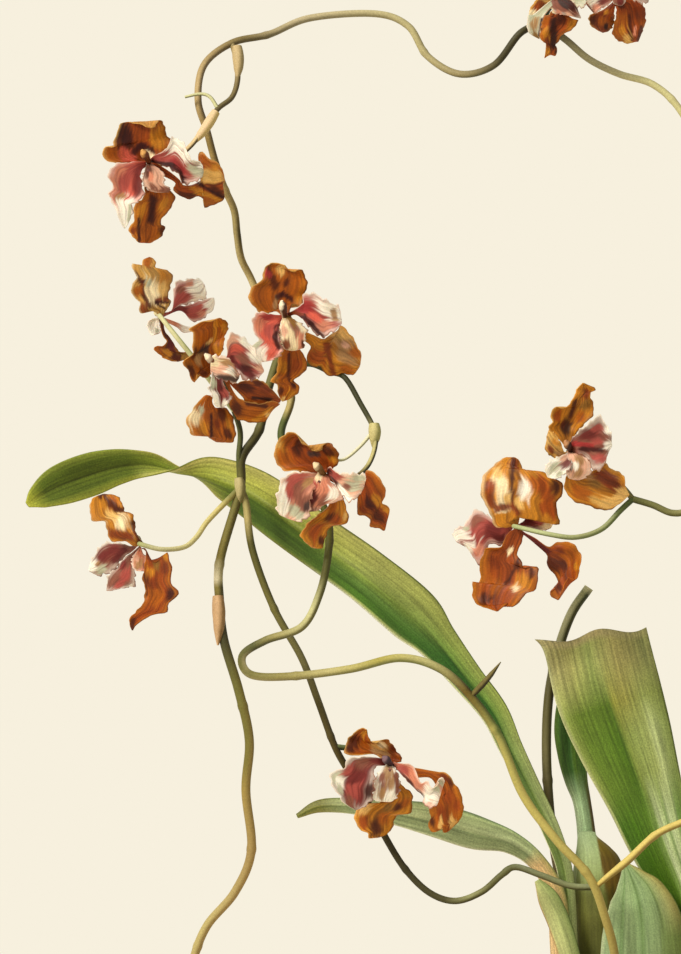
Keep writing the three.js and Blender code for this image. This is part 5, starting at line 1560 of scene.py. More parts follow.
# Each organ: its kind, its tone, its left and right margins from its foot to its tip, and its patches,
# each a tone, a place or a line, and a radius. In mm from the bloom's centre, to the right and up.
# The highest one on the left.
BLOOM_1 = [
    ("upper", "rust",
     [(-1, 0), (-7, -0.3), (-12, -0.5), (-18, 0), (-22.3, 1.5), (-22.3, 7.3), (-17.8, 7.5), (-17.4, 10.3),
      (-16.6, 13.2), (-14.5, 18.6), (-12, 20), (-8, 19.6), (-4, 19.2), (-1.4, 17.7)],
     [(1.3, 1.5), (3, 2.3), (7.2, 3.2), (10.5, 6), (11.3, 10.3), (10.1, 12.5), (8.2, 14.8), (8, 17.8),
      (6.8, 20), (5.1, 20.9), (3.4, 18.2), (1.3, 17.1), (-0.6, 17.4)],
     ("umber", -16, 11, 3), ("plum", -14, 17, -11, 11, 3), ("coral", -14, 3, -9, 3, 2),
     # The three plum lines from (-8, 5) round to (1.6, 6) paint the crescent of shadow behind the column.
     ("amber", 5, 12, 3.5), ("cream", -1, 4.6, 0.5, 3.4, 1.3), ("plum", -8, 5, -5, 8, 1.1),
     ("plum", -5, 8, -2, 8.2, 1.1), ("plum", -2, 8.2, 1.6, 6, 0.8), ("amber", 7, 19, 1.4),
     ("orange", -18, 4, 2.5)),
    ("side", "orange",
     [(-1, -2), (-2, -9), (-3, -18), (-7, -20), (-7.5, -25), (-8, -30), (-10.5, -33.5), (-8, -37),
      (-5.3, -39.8), (-3, -39.2)],
     [(2, -2), (6, -10), (12, -15.5), (12.5, -19), (11, -22.5), (8, -26), (6, -29), (5.7, -31), (7.8, -32),
      (7.3, -35), (5, -37.5), (0.7, -40), (-1, -39.6)],
     ("umber", -1, -13, 1.4), ("orange", 2, -15.5, 1.8), ("plum", 2, -19, 1, -28, 1.6),
     ("plum", -5, -28, -5, -39, 0.7), ("umber", 6.5, -34, 1.5), ("amber", -4, -24, 2),
     ("amber", 7, -21, 1.8), ("brown", -8, -34, 1.2)),
    ("side", "rust",
     [(1, 1), (8, -3), (15, -8.5), (16.5, -11), (20, -11.5), (24, -10), (27, -8), (28, -5), (26, -1),
      (24.5, 3), (25.5, 5.5), (27.5, 5), (30, 1.5), (33, 1), (35, -1), (37, -5), (37.5, -8)],
     [(0.5, -1), (6, -6), (13, -10), (12, -13), (13, -15), (16, -17), (20, -18), (24, -17), (27, -18),
      (27.5, -22), (30, -22), (34, -20), (37.4, -18), (37.3, -16), (36, -12), (37.4, -10)],
     ("ochre", 31, -7, 3.5), ("orange", 28, 2, 2.5), ("umber", 32, -13, 36, -17, 1.5),
     ("umber", 16, -16, 22, -17, 1.3), ("amber", 22, -13, 35, -18.5, 0.9),
     ("plum", 24, -10, 37, -17.5, 0.6), ("amber", 33, -2, 1.5), ("gold", 27, -5, 28, -8, 1.2)),
    ("petal", "coral",
     [(-2, 0.5), (-9, 0), (-16, -1), (-18.5, -2.5), (-20, -7), (-19, -10), (-17.5, -13), (-20, -16),
      (-19, -19), (-17, -22), (-16, -25), (-14, -30), (-12.3, -33)],
     [(-1, -2), (-3.5, -4), (-4, -8), (-3, -13), (-2.6, -17), (-5, -19.5), (-8, -21), (-8, -25), (-10, -30),
      (-11.7, -33)],
     ("rose", -10, -6, 3), ("salmon", -15, -5, 2), ("pink", -17, -12, 3), ("tan", -15, -18, 2.4),
     ("white", -12, -24, 4), ("white", -12, -30, 3), ("sage", -9, -22, -10, -29, 0.7),
     ("rose", -13, -11, 2.4), ("maroon", -4, -4, -5.5, -12, 2.8)),
    ("petal", "rose",
     [(1, 2), (3, 3.5), (8, 6), (11, 11), (12, 13), (14, 12), (16, 10), (18, 9), (19, 5), (22, 1), (26, 0),
      (27, -4)],
     [(1.5, 0), (5, -1), (10, -3), (14, -5.5), (16, -8), (16.5, -11), (20, -10.6), (22, -10), (26, -8),
      (27, -5.5)],
     ("rose", 8, 4, 1.8), ("white", 14, 9, 3), ("white", 19, 3, 2.5), ("sage", 24, -4, 3),
     ("white", 26, -2, 1), ("crimson", 12, 0, 16, -4, 1.6), ("plum", 2, 0, 10, -2.2, 1.2),
     ("plum", 10, -1.8, 15, -6.2, 1.7), ("plum", 15, -6, 16.8, -10.5, 1)),
    ("lip", "blush",
     [(-1, -1), (-3, -6), (-3.5, -9), (-2, -12), (0, -14), (3, -14.7)],
     [(2, -1), (3, -2), (6, -4), (8, -7), (7.5, -10.5), (11, -13.8), (8, -15), (4, -14.8)],
     ("umber", 0, -5, 2.2), ("mauve", 2, -12, 10, -14, 1.2), ("blush", 4, -9, 2), ("salmon", 1, -7.5, 1.2)),
]
# Below it, from behind.
BLOOM_2 = [
    ("reverse", "ochre",
     [(-0.5, 0), (-1, 0.8), (-4, 3), (-8, 2.2), (-10, 2), (-10.8, 4), (-10.7, 7.5), (-13, 10), (-15, 13),
      (-14.5, 15.5), (-12.5, 18.5), (-12, 20), (-13.5, 22.5), (-14.3, 24.5), (-13.6, 26.7), (-12, 24.5),
      (-10, 22.5), (-9.5, 26), (-9, 28.5), (-6, 29.9)],
     [(1, 1), (3, 4), (4.7, 6.8), (4, 9), (3.5, 12), (4.5, 15), (5.6, 19), (5, 22), (3, 23.5), (0, 24),
      (-3, 25), (-2.5, 27.3), (-4, 29.3), (-5.5, 29.9)],
     ("cream", -5, 12, 3.5), ("orange", -7, 27.5, 1.8), ("amber", 2, 20, 2.5),
     ("umber", -13, 22, -9.5, 17, 1), ("umber", -9.5, 17, -9.5, 12, 1), ("umber", -9.5, 12, -6, 6, 0.9),
     ("brown", -9, 4, 1.8), ("brown", -2, 8, 3, 9, 0.9), ("sage", -6, 17, 1.2),
     ("plum", -3, 7.5, 5, 7, 0.4), ("plum", -3, 7, 1.5, 4.5, 0.4), ("gold", 1, 14, 1.8),
     ("orange", -12, 13, 1.6)),
    ("reverse_side", "umber",
     [(-1, -1), (0.3, -7), (1.5, -10), (3, -12), (1, -14.5), (-1.5, -14.5), (-3.5, -15), (-2, -17.5),
      (1, -20), (5, -21.8), (8, -22)],
     [(1, -1), (2, -7), (4, -9.5), (6, -12.5), (8, -16), (11, -18), (15, -17.5), (16, -19), (12, -21),
      (9, -22)],
     ("orange", -1, -16, 2.5), ("olive", 12, -19.5, 2), ("amber", 3, -18, 1.4), ("wine", 5, -14, 1.6)),
    ("reverse_petal", "rose",
     [(1, 2), (5, 3.5), (6, 8), (6, 12), (6.3, 15), (7.5, 18), (12, 19), (15, 19.5), (19, 19.5), (21, 17)],
     [(2, 1), (9, 6), (12, 6.5), (17, 8.3), (19.5, 8.8), (22, 9), (22.5, 12), (21.5, 16)],
     ("white", 19, 17, 3.6), ("white", 20, 12, 4), ("mauve", 9, 14, 1.5), ("rose", 8, 9, 1.5),
     ("pink", 14, 17, 1.2), ("rose", 12, 10, 1.8)),
    ("reverse_petal", "rose",
     [(1, 1), (5, 3.5), (9, 6), (12, 6), (17, 8), (20, 8.6), (24, 10), (26, 10)],
     [(1, 0), (5, 2), (9, 3.5), (12, 2), (15, -1.5), (20, -1.3), (22.5, 1.5), (25, 3), (26.5, 7),
      (26.3, 9.5)],
     ("white", 25, 7, 2.2), ("white", 24, 3, 1.4), ("maroon", 8, 4, 12, 4, 1.6), ("rose", 16, 4, 2),
     ("pink", 20, 2, 1.2)),
    ("lip", "blush",
     [(1, 0), (4, -1), (8, -2.5), (12, -4.3), (16, -5)],
     [(1, -1), (4, -3), (8, -5), (11, -7.5), (15, -7), (16.3, -5.8)],
     ("salmon", 4, -2, 10, -4.5, 1.2), ("white", 13, -6, 2.2)),
    ("lip", "white",
     [(-1, 0), (-5, -1), (-7, -4), (-5, -8.5), (-3.5, -8.6)],
     [(0, -1), (-1, -3), (0, -6), (-1, -8), (-3, -8.4)],
     ("white", -4, -4, 1.4), ("sage", -2, -7, 0.8)),
]
# The lower left one of the cluster.
BLOOM_3 = [
    ("upper", "orange",
     [(-1, 0), (-4, 1), (-7, -3.2), (-12, -1.6), (-12.5, -4.4), (-13.6, -5.5), (-15, -3), (-17, 1),
      (-18.8, 4.7), (-14.3, 8), (-14, 10.2), (-13.8, 18.4), (-15.9, 20.4), (-10.2, 24.3), (-5.6, 24.5),
      (-3, 25.3)],
     [(1, 2), (-0.2, 7.9), (1.2, 11.5), (1.6, 16.5), (3.7, 22), (2.5, 24.7), (-0.6, 26.3), (-2.4, 25.6)],
     ("umber", -13, 8, 2), ("umber", -15, 0, 2), ("umber", -9, -1, 1.6), ("amber", 2, 22, 1.6),
     ("amber", -1, 9, 1.3), ("amber", -3, 12, -3, 24, 1), ("tan", -12, 5, -10.5, 9, 1.2),
     ("plum", -10.5, 10, -7, 13.8, 0.8), ("gold", -7.2, 13.8, -4.7, 15.4, 0.6), ("slate", -8, 11, 1.6),
     ("orange", -10, 20, 3), ("orange", -0.5, 17, 1.4)),
    ("side", "orange",
     [(-1, -2), (-3, -7), (-5, -12), (-8, -12), (-12, -16), (-14, -19), (-17, -23), (-17, -26), (-15, -31),
      (-12, -32), (-8, -31), (-6, -33), (-3, -34.8)],
     [(1, -2), (-1, -8), (-4.5, -14), (-3, -18), (-1, -19), (2, -18), (4, -20), (6, -24), (7, -31),
      (6, -35), (2, -35.3), (-1.5, -35.1)],
     ("cream", -13, -23, 2.6), ("sage", -10, -19, 1.2), ("amber", -9, -28, 2), ("umber", 0, -21, 2.2),
     ("umber", 3, -31, 1.6), ("plum", -5, -22, -5, -32, 0.6), ("amber", 4, -26, 1.2),
     ("brown", -2, -26, 1.6)),
    ("side", "rust",
     [(1, 0), (4, -3), (8, -6), (10, -5), (18, -4), (22, -6), (27, -11), (29.5, -14)],
     [(0, -1), (4, -6), (9, -11), (13, -15.7), (20, -17), (25, -15.8), (29, -15.4)],
     ("umber", 12, -8, 2.4), ("night", 16, -13, 24, -14, 0.7), ("brown", 22, -9, 1.8),
     ("umber", 18, -6, 1.5)),
    ("flat", "orange",
     [(1, -1), (4, -6), (6, -10), (9, -13.5), (13, -15), (20, -16), (25, -14.6), (29, -16)],
     [(0, -2), (3, -8), (5, -14), (4, -17), (7, -22), (8, -24), (13, -25), (18, -25.5), (22, -24.5),
      (25, -20), (28.6, -16.6)],
     ("amber", 24, -19, 17, -24, 1), ("umber", 8, -19, 2.5), ("orange", 15, -20, 2.5),
     ("umber", 13, -16.5, 22, -17.5, 0.7), ("gold", 23, -21.5, 0.8)),
    ("petal", "rose",
     [(1, 4), (3, 8), (3, 15), (5, 18.5), (8, 18.5), (12, 16), (16, 11.5), (19, 6), (21, 1)],
     [(2, 2), (6, 4), (8, 0), (11, -4), (14, -4.5), (18, -3.5), (21, -0.5)],
     ("plum", 12, 1, 2.2), ("maroon", 14, -2, 1.8), ("blush", 5, 16, 2.6), ("coral", 8, 12, 1.8),
     ("rose", 6, 6, 1.8), ("wine", 5, 7, 9, 2, 0.8), ("white", 17, 7, 2.6), ("white", 12, 14, 1.6),
     ("mauve", 11, 6, 2), ("blush", 20, 1, 1.6)),
    ("petal", "maroon",
     [(-1, 0), (-4, 0), (-5, -5), (-6, -9), (-4, -13), (-3, -17), (0, -18)],
     [(0, -1), (1, -5), (2, -8), (5, -12), (5, -14), (3.5, -16), (1, -18)],
     ("rose", 2, -10, 1.6), ("white", -3, -12, -2, -17, 1.4), ("white", 2, -16.5, 1.2),
     ("sage", -4, -6, 1.6), ("wine", -1, -4, 0, -8, 1)),
    ("lip", "blush",
     [(-2, 3), (-5, 6), (-3, 8), (0, 7.5), (4, 7), (8, 3), (9, -2)],
     [(-3, 0), (-5, 0), (-4, -3), (0, -4.5), (4, -5), (6.5, -6.3), (8.4, -4)],
     ("slate", 0, -3, 8, -4, 1.4), ("tan", 3, 4, 1.6), ("tan", 1, 5, 1.2), ("white", 5, 0, 1.5),
     ("cream", -6, 8, -3.5, 4, 1.7)),
]
# The upper right one of the cluster.
BLOOM_4 = [
    ("upper", "orange",
     [(-1, 1), (-4.4, 3.8), (-8.5, 2.9), (-11.2, 3.4), (-13, 3.6), (-16.2, 7), (-17.8, 10.2), (-17.8, 13.4),
      (-16, 16.1), (-13, 17.9), (-11.4, 20.2), (-10.3, 24.3), (-8.7, 27), (-4.4, 27.9), (-0.3, 26.8)],
     [(2, 2), (3.8, 7.5), (8.4, 6.5), (9.7, 12), (11.1, 15.2), (10.9, 18.8), (9.7, 22.5), (7.9, 24.5),
      (5.2, 23.4), (2.5, 24), (0.4, 26.2)],
     ("umber", -9, 26, -5, 17, 1.5), ("tan", -5, 6, -4, 11, 0.9), ("plum", -4, 11, -1, 12.5, 0.9),
     ("plum", -1, 12.5, 3, 10, 0.9), ("amber", 8, 9, 1.6), ("gold", -2, 25, 1.7), ("crimson", -8, 22, 1.4),
     ("orange", -13, 12, 2.6), ("orange", 6, 20, 2.2), ("umber", 1, 18, 1.3)),
    ("side", "orange",
     [(-1, -2), (-1, -9), (-1, -16), (-3.5, -19), (-3.5, -24), (-5, -28), (-7, -31), (-3.5, -33),
      (-3.5, -37), (-1.5, -41)],
     [(2, -2), (5, -9), (8, -16), (11, -21), (11, -24), (8, -28), (5, -30), (4, -31), (7, -33), (7, -36),
      (5, -38), (2, -40), (-0.5, -40.8)],
     ("amber", -1, -24, 2.2), ("umber", 2, -18, 2, -30, 0.7), ("umber", -2, -36, 1.4), ("plum", 4, -33, 1),
     ("amber", 3, -38, 1.6), ("amber", -5, -30, 1.3), ("rust", 6, -23, 2), ("gold", -1, -40, 0.8)),
    ("side", "amber",
     [(2, 0), (8, -5), (14, -8), (19, -10), (22, -8.5), (27, -5), (28, -3), (31, -6), (34, -9), (35, -12),
      (37, -15), (38, -18), (37.6, -22)],
     [(1, -1), (6, -7), (10, -11), (13, -14), (11, -18), (12, -22), (15, -24), (18, -24), (21, -28),
      (25, -28.5), (28, -27), (32, -28), (35, -27), (37, -24)],
     ("rust", 16, -19, 3), ("tan", 28, -9, 31, -19, 3), ("gold", 27, -8, 2), ("orange", 35, -17, 1.8),
     ("orange", 31, -25, 2.2), ("brown", 21, -13, 24, -27, 1.1), ("blush", 30, -13, 1.3),
     ("amber", 14, -11, 1.5)),
    ("petal", "coral",
     [(-1, 2), (-5, 2), (-9, 3), (-12, 3), (-15, 2.5), (-16, -3), (-15.5, -7), (-13, -10), (-17, -14),
      (-17, -18), (-14, -21.5), (-10, -20.6)],
     [(-1, -1), (-2.5, -3), (-2.5, -10), (-1, -15), (-2, -18), (-6, -20.5), (-9, -20.7)],
     ("crimson", -9, 1, 2), ("salmon", -13, -3, 2), ("plum", -4, -4, -5, -9, 1.2),
     ("plum", -5, -9, -3, -14, 1.2), ("white", -13, -18, 3), ("white", -15, -15, 2),
     ("sage", -14, -12, 1.6), ("rose", -8, -6, 2), ("coral", -6, -16, 1.8)),
    ("petal", "rose",
     [(1, 3), (4, 4), (9, 8), (9, 12), (12, 13), (16, 12), (20, 9.5), (23, 8), (27, 6), (28, 0)],
     [(2, 1), (5, 2), (8, 0.5), (12, -4), (16, -8), (19, -9.5), (21, -8), (25, -6), (28, -3), (28.3, -1.4)],
     ("crimson", 11, 6, 2.6), ("pink", 19, -4, 2.4), ("white", 21, 5, 3), ("white", 25, 2, 2.4),
     ("tan", 24, 4, 25, 0, 0.9), ("brown", 4, 3, 9, 0.5, 1.3), ("plum", 9, 0.5, 13, -2.5, 1),
     ("plum", 13, -2.5, 18, -8.5, 1), ("coral", 15, 1, 1.8)),
    ("lip", "cream",
     [(-1, 1), (-2, -2), (-3, -6), (-2, -12), (0, -15), (3, -15.6)],
     [(3, 2), (4, 0), (9, -3), (11, -6), (10, -10), (9.5, -14), (6, -15.5), (4, -15.7)],
     ("mauve", 4, -3, 6, -6, 1.6), ("salmon", 8, -9, 8, -13, 1.4), ("umber", 9, -12, 9.4, -14, 0.8),
     ("cream", 3.5, -14, 1.5), ("brown", 1, -13, 1.6), ("blush", 0, -6, 1.4), ("olive", 1, 2, 4, -1, 1.5)),
]
# In front of the long leaf.
BLOOM_5 = [
    ("upper", "rust",
     [(-2, -0.5), (-9.7, 1.4), (-14.8, 2.8), (-19.4, 2.5), (-22.2, 4.2), (-24, 6), (-25.2, 12.5),
      (-24, 15.7), (-22.4, 18.5), (-18.9, 21.3), (-15.7, 21.5), (-13.8, 20.4), (-11.5, 16.2)],
     [(1, 2), (6.1, 5.6), (6.8, 10.6), (4.7, 14.4), (1.9, 16.4), (-0.4, 15.3), (-2.7, 12.3), (-6.4, 12.5),
      (-7.8, 14.4), (-10.8, 15.7)],
     ("amber", -22, 13, 2.4), ("umber", -13, 17, 1.6), ("umber", -14, 13, 1.8),
     ("slate", -7, 11, -3, 11, 1), ("umber", 2, 12, 1.8), ("orange", -19, 8, 3), ("ochre", -23, 16, 1),
     ("amber", 5, 8, 1.2)),
    ("side", "amber",
     [(2, -3), (1, -9), (2.4, -13.9), (-2.3, -18.5), (-7.8, -22.7), (-11.8, -28.2), (-11.5, -31),
      (-6.9, -35.2)],
     [(3, -3), (4.2, -9.7), (8.4, -10.6), (10.7, -15.7), (11.6, -21.3), (9.8, -24), (3.3, -25),
      (0.5, -29.6), (-1.3, -35.6), (-5, -35.8)],
     ("rust", -5, -27, 3), ("umber", 3, -20, 2), ("gold", 10, -20, 1), ("umber", -2, -32, 1.4),
     ("orange", 4, -15, 1.8), ("rust", 6, -22, 1.8)),
    ("side", "rust",
     [(2, 0), (10, -2), (16, -3), (20.4, -1.9), (20.4, 2.8), (24.6, 1.9), (27.4, -1.9), (30.1, -6),
      (29.7, -10.2), (28.3, -13), (31.5, -15.3), (31.8, -19), (29.7, -23.1)],
     [(2, -2), (9, -6), (15, -9), (20, -7.4), (16.3, -10.6), (16.3, -15.7), (16.7, -19.4), (22.3, -20.8),
      (22.3, -25.5), (26, -25.5), (29.4, -27.3), (29.7, -24.6)],
     ("amber", 26, -12, 2), ("plum", 22, -14, 2), ("umber", 26, -20, 2.2), ("orange", 27, -5, 2.4),
     ("amber", 30, -17, 1), ("brown", 19, -17, 1.4)),
    ("petal", "blush",
     [(-2, 1), (-9, 2), (-16, 1.9), (-20.8, -0.9), (-23.1, -6.5), (-24, -12.5), (-23.1, -18.5),
      (-18.5, -20.4)],
     [(-1, -2), (-5, -6), (-7, -12), (-7, -17), (-7.8, -20), (-12.5, -22.7), (-17.5, -21)],
     ("pink", -14, -8, 7), ("rose", -15, -4, 4.4), ("mauve", -13, -7, 3), ("mauve", -9.5, -13.5, 3),
     ("rose", -18, -10, 2), ("sage", -17, -16, -12, -20, 1.4), ("white", -22, -7, -20, -17, 1.8),
     ("slate", -9, -15, 1.4), ("tan", -8, -3, 1.8), ("white", -21, -14, 2.4)),
    ("petal", "blush",
     [(1, 2), (2.4, 4.6), (6.5, 1.6), (13, 1.4), (20, 0.5), (19.5, -4)],
     [(1.5, 1), (2.4, -0.6), (5.1, -3.9), (8, -8.5), (11.4, -12.5), (14, -12), (17.2, -9.3), (19, -6)],
     ("rose", 4, 2, 1.8), ("plum", 2.4, 2.6, 5.1, -2.9, 1.2), ("white", 8, -6, 11.6, -12, 1.2),
     ("sage", 14, -5, 2.4), ("rose", 6, 0, 1.6), ("sage", 17, -1, 1.8), ("mauve", 11, -5, 1.2)),
    ("lip", "salmon",
     [(-3, 2), (-6, -1), (-8, -6), (-12, -9), (-14.4, -13), (-12, -17), (-7, -17.6)],
     [(1, 1), (4, -4), (8.6, -7), (9, -11), (5, -13), (0, -14), (-3, -16.8)],
     ("mauve", -9.5, -12.5, 4.6), ("slate", -9.5, -13, 3), ("mauve", -1, -12, 2), ("rose", -5, -4, 1.2),
     ("cream", -3, 0, 1.6), ("white", 4.7, -8.8, 2), ("olive", -4, 4, 0, 2, 1), ("wine", -6, -11, 1.8)),
]
# At the far left on its pale stalk, from behind.
BLOOM_6 = [
    ("reverse", "amber",
     [(-1, -1), (-4.2, -0.7), (-7.3, 1.4), (-9.8, 1.4), (-13.9, 1.4), (-16.5, 3.4), (-17, 7.5),
      (-18.5, 11.3), (-23.1, 11.3), (-25.4, 13.1), (-25.7, 18.7), (-24.6, 22.8), (-19.5, 24.8)],
     [(1, 1), (-1, 3), (-2.7, 6.5), (-3.2, 11.6), (-4.7, 15.2), (-8.3, 16.7), (-9.8, 21.3), (-12.9, 24.3),
      (-18, 24.9)],
     ("cream", -10, 12, 3), ("gold", -15, 15, 2.2), ("amber", -23, 17, 2.2), ("orange", -14, 20, 2.4),
     ("umber", -20, 24, -13, 18.5, 1.4), ("umber", -13, 17, -8, 17, 1), ("brown", -14, 5, -9, 4, 1.6),
     ("umber", -3, 10, 0, 1, 1.6), ("amber", -19, 20, 1.4), ("brown", -6, 4, 1.6)),
    ("reverse_side", "rust",
     [(0, -2), (2.4, -3.2), (1.4, -13.4), (0.6, -15.5), (1.9, -23.1), (1.4, -28.2), (-1.7, -32.8),
      (-5.5, -36.4), (-5.8, -40), (-4.8, -43)],
     [(2, -2), (4.4, -6.8), (7, -9.3), (11.6, -5.8), (13.1, -4.5), (15.4, -11.4), (14.6, -17), (15.7, -20),
      (18.7, -24.6), (14.4, -29.2), (12.6, -33.8), (7.5, -34.8), (2.4, -36.9), (-2.7, -40.5), (-4.2, -43)],
     ("umber", 2, -17, 2, -24, 1.6), ("olive", 8, -10, 1.6), ("brown", 12, -12, 1.8), ("plum", 15, -25, 2),
     ("umber", -4, -38, -4.5, -42, 1), ("orange", 8, -26, 3), ("brown", 6, -20, 1.6),
     ("amber", 5, -14, 1.4), ("amber", 12.5, -6, 0.9)),
    ("reverse_petal", "mauve",
     [(-1, 1), (-5, -1), (-9.3, 0.2), (-16, 0.9), (-20.6, -0.7), (-23.1, -4.7), (-25.7, -8.8),
      (-26.7, -12.9)],
     [(-2, -1), (-5, -4), (-7.8, -5.8), (-11, -9.3), (-15.5, -14.2), (-18.5, -15), (-21.6, -16), (-26, -14)],
     ("white", -25, -11, 2.4), ("sage", -20, -13, 1.6), ("maroon", -14, -3, 2.4), ("maroon", -19, -6, 2.2),
     ("wine", -9, -3, -13, -8, 1.4), ("tan", -22, -10, 0.9)),
    ("reverse_petal", "mauve",
     [(-1, -1), (-4.5, -4), (-8, -6.4), (-11.6, -10.4), (-16.5, -14.8), (-17.8, -23.4)],
     [(0, -2), (-2, -6), (-3.6, -10.4), (-3.2, -17), (-3.7, -21), (-8.8, -22), (-15, -23.4)],
     ("maroon", -9, -10.5, 1.5), ("rose", -8, -16, 2.2), ("mauve", -14, -19, 2), ("rose", -11, -20, 1.6),
     ("white", -6, -22, 1.1)),
    ("lip", "salmon",
     [(-1, -2), (-4.7, -6.8), (-4.6, -11), (-3, -13)],
     [(0, -2), (1, -5), (3.4, -7), (3.4, -12.9), (0, -13.4)],
     ("tan", -1, -10, 1.8), ("mauve", 2, -11, 1), ("blush", -2, -7, 1)),
]
# The lowest one, in front of the short leaf.
BLOOM_7 = [
    ("upper", "rust",
     [(-2, 1), (-9.2, 5.7), (-16.1, 5.2), (-21.5, 5.2), (-23.5, 7.2), (-22.5, 11.7), (-19.6, 15.6),
      (-15.1, 18.6), (-12.6, 17.9)],
     [(1, 1), (5.2, 2.8), (1.7, 8.2), (-1.2, 12.2), (-3.7, 12.9), (-8.2, 11.2), (-10.1, 11.7),
      (-11.6, 14.2), (-12.4, 17)],
     ("umber", -18, 11, 2.4), ("gold", -6, 9, 2.8), ("cream", -5, 10, 1.2), ("brown", 1, 8, 1.6),
     ("orange", -14, 9, 2), ("umber", -21, 8, 1.2), ("amber", -14, 16, 1.2), ("tan", -9, 7, -3, 6, 1)),
    ("side", "amber",
     [(-1, -3), (-4, -12), (-6, -19), (-11.1, -19), (-16.1, -20.5), (-18.3, -23.5), (-18.1, -27.9),
      (-16.1, -31.9), (-12.1, -33.9), (-11.6, -36.3), (-8, -36.2)],
     [(2, -3), (5, -10), (9.7, -13.6), (10.1, -20.5), (8.7, -24), (2.5, -25), (0.7, -29.9), (-1.7, -33.9),
      (-5.6, -35.8)],
     ("umber", -8, -31, 2.6), ("orange", 6, -19, 1.8), ("umber", 3, -21, 1.4), ("gold", -13, -22, 1.8),
     ("rust", -14, -28, 2), ("orange", -4, -26, 2), ("olive", -2, -21, 1.4)),
    ("side", "orange",
     [(2, 0), (10, -1), (19.6, -2.7), (23.5, -3.2), (28, -4.7), (32.4, -10.6), (35.4, -17.5), (34.9, -25.4),
      (31.4, -29.9), (28.5, -32.6)],
     [(2, -2), (10, -6), (19.6, -6.5), (23.5, -15), (23, -20.5), (18.6, -20.5), (19.6, -25.4),
      (18.1, -28.9), (19.6, -32.9), (23, -32.9), (24.5, -28.9), (25.5, -33.4), (27.4, -33.4)],
     ("umber", 30, -8, 1.8), ("gold", 30, -28, 1.5), ("umber", 20, -28, 1.4), ("rust", 28, -16, 2.2),
     ("rust", 25, -24, 2), ("rust", 32, -20, 1.6), ("gold", 24.5, -27, 24, -31, 0.7),
     ("brown", 26, -6, 1.4)),
    ("petal", "maroon",
     [(-2, 3), (-9.2, 4.3), (-16.1, 4.5), (-21, 3.8), (-24, -0.7), (-31, -4.7), (-29, -10.6), (-25, -16.5),
      (-24, -18.5), (-18.6, -22)],
     [(-2, 0), (-8.2, -0.7), (-8.7, -7.6), (-9.7, -16.5), (-13.6, -20.5), (-17, -21.8)],
     ("mauve", -15, 1, 2.4), ("maroon", -17, -7, 3), ("plum", -11, -12, 2.4), ("sage", -28, -6, 2.4),
     ("white", -26, -9, 2), ("sage", -26, -12, 1.4), ("rose", -20, -13, 2.6), ("rose", -22, -2, 1.8),
     ("mauve", -21, -18, 1.8)),
    ("petal", "salmon",
     [(1, 2), (2.7, 1.3), (10.1, 0.3), (12.6, -4.7), (14.6, -8.6), (17.6, -7.6), (20, -11.1), (23, -9.1),
      (23.5, -6.1), (26, -7.6), (23.5, -15)],
     [(1, 0), (3.7, -3.2), (8, -8), (12, -12), (15.6, -15.5), (16.1, -20), (21.5, -20.5), (23.2, -17)],
     ("plum", 3.7, -3, 15.6, -15, 0.8), ("white", 20, -14, 3.2), ("sage", 22, -11, 1.2),
     ("pink", 13, -10, 1.6), ("rose", 6, -2, 1.8), ("sage", 24, -8, 1.6)),
    ("lip", "white",
     [(-2.4, 1), (-5.6, -2.2), (-8.8, -7.6), (-9.6, -16.5), (-4.6, -17.7)],
     [(0, 0.5), (3.2, -4.7), (3.7, -12.6), (0.7, -17.5), (-3, -17.7)],
     ("tan", -2, -4, 2.4), ("mauve", -4, -11, 1.8), ("brown", 2, -5, 3, -12, 1.2), ("tan", -5, -14, 1.6),
     ("tan", -1, -9, 1.8), ("mauve", -5, -6, 1.4)),
]
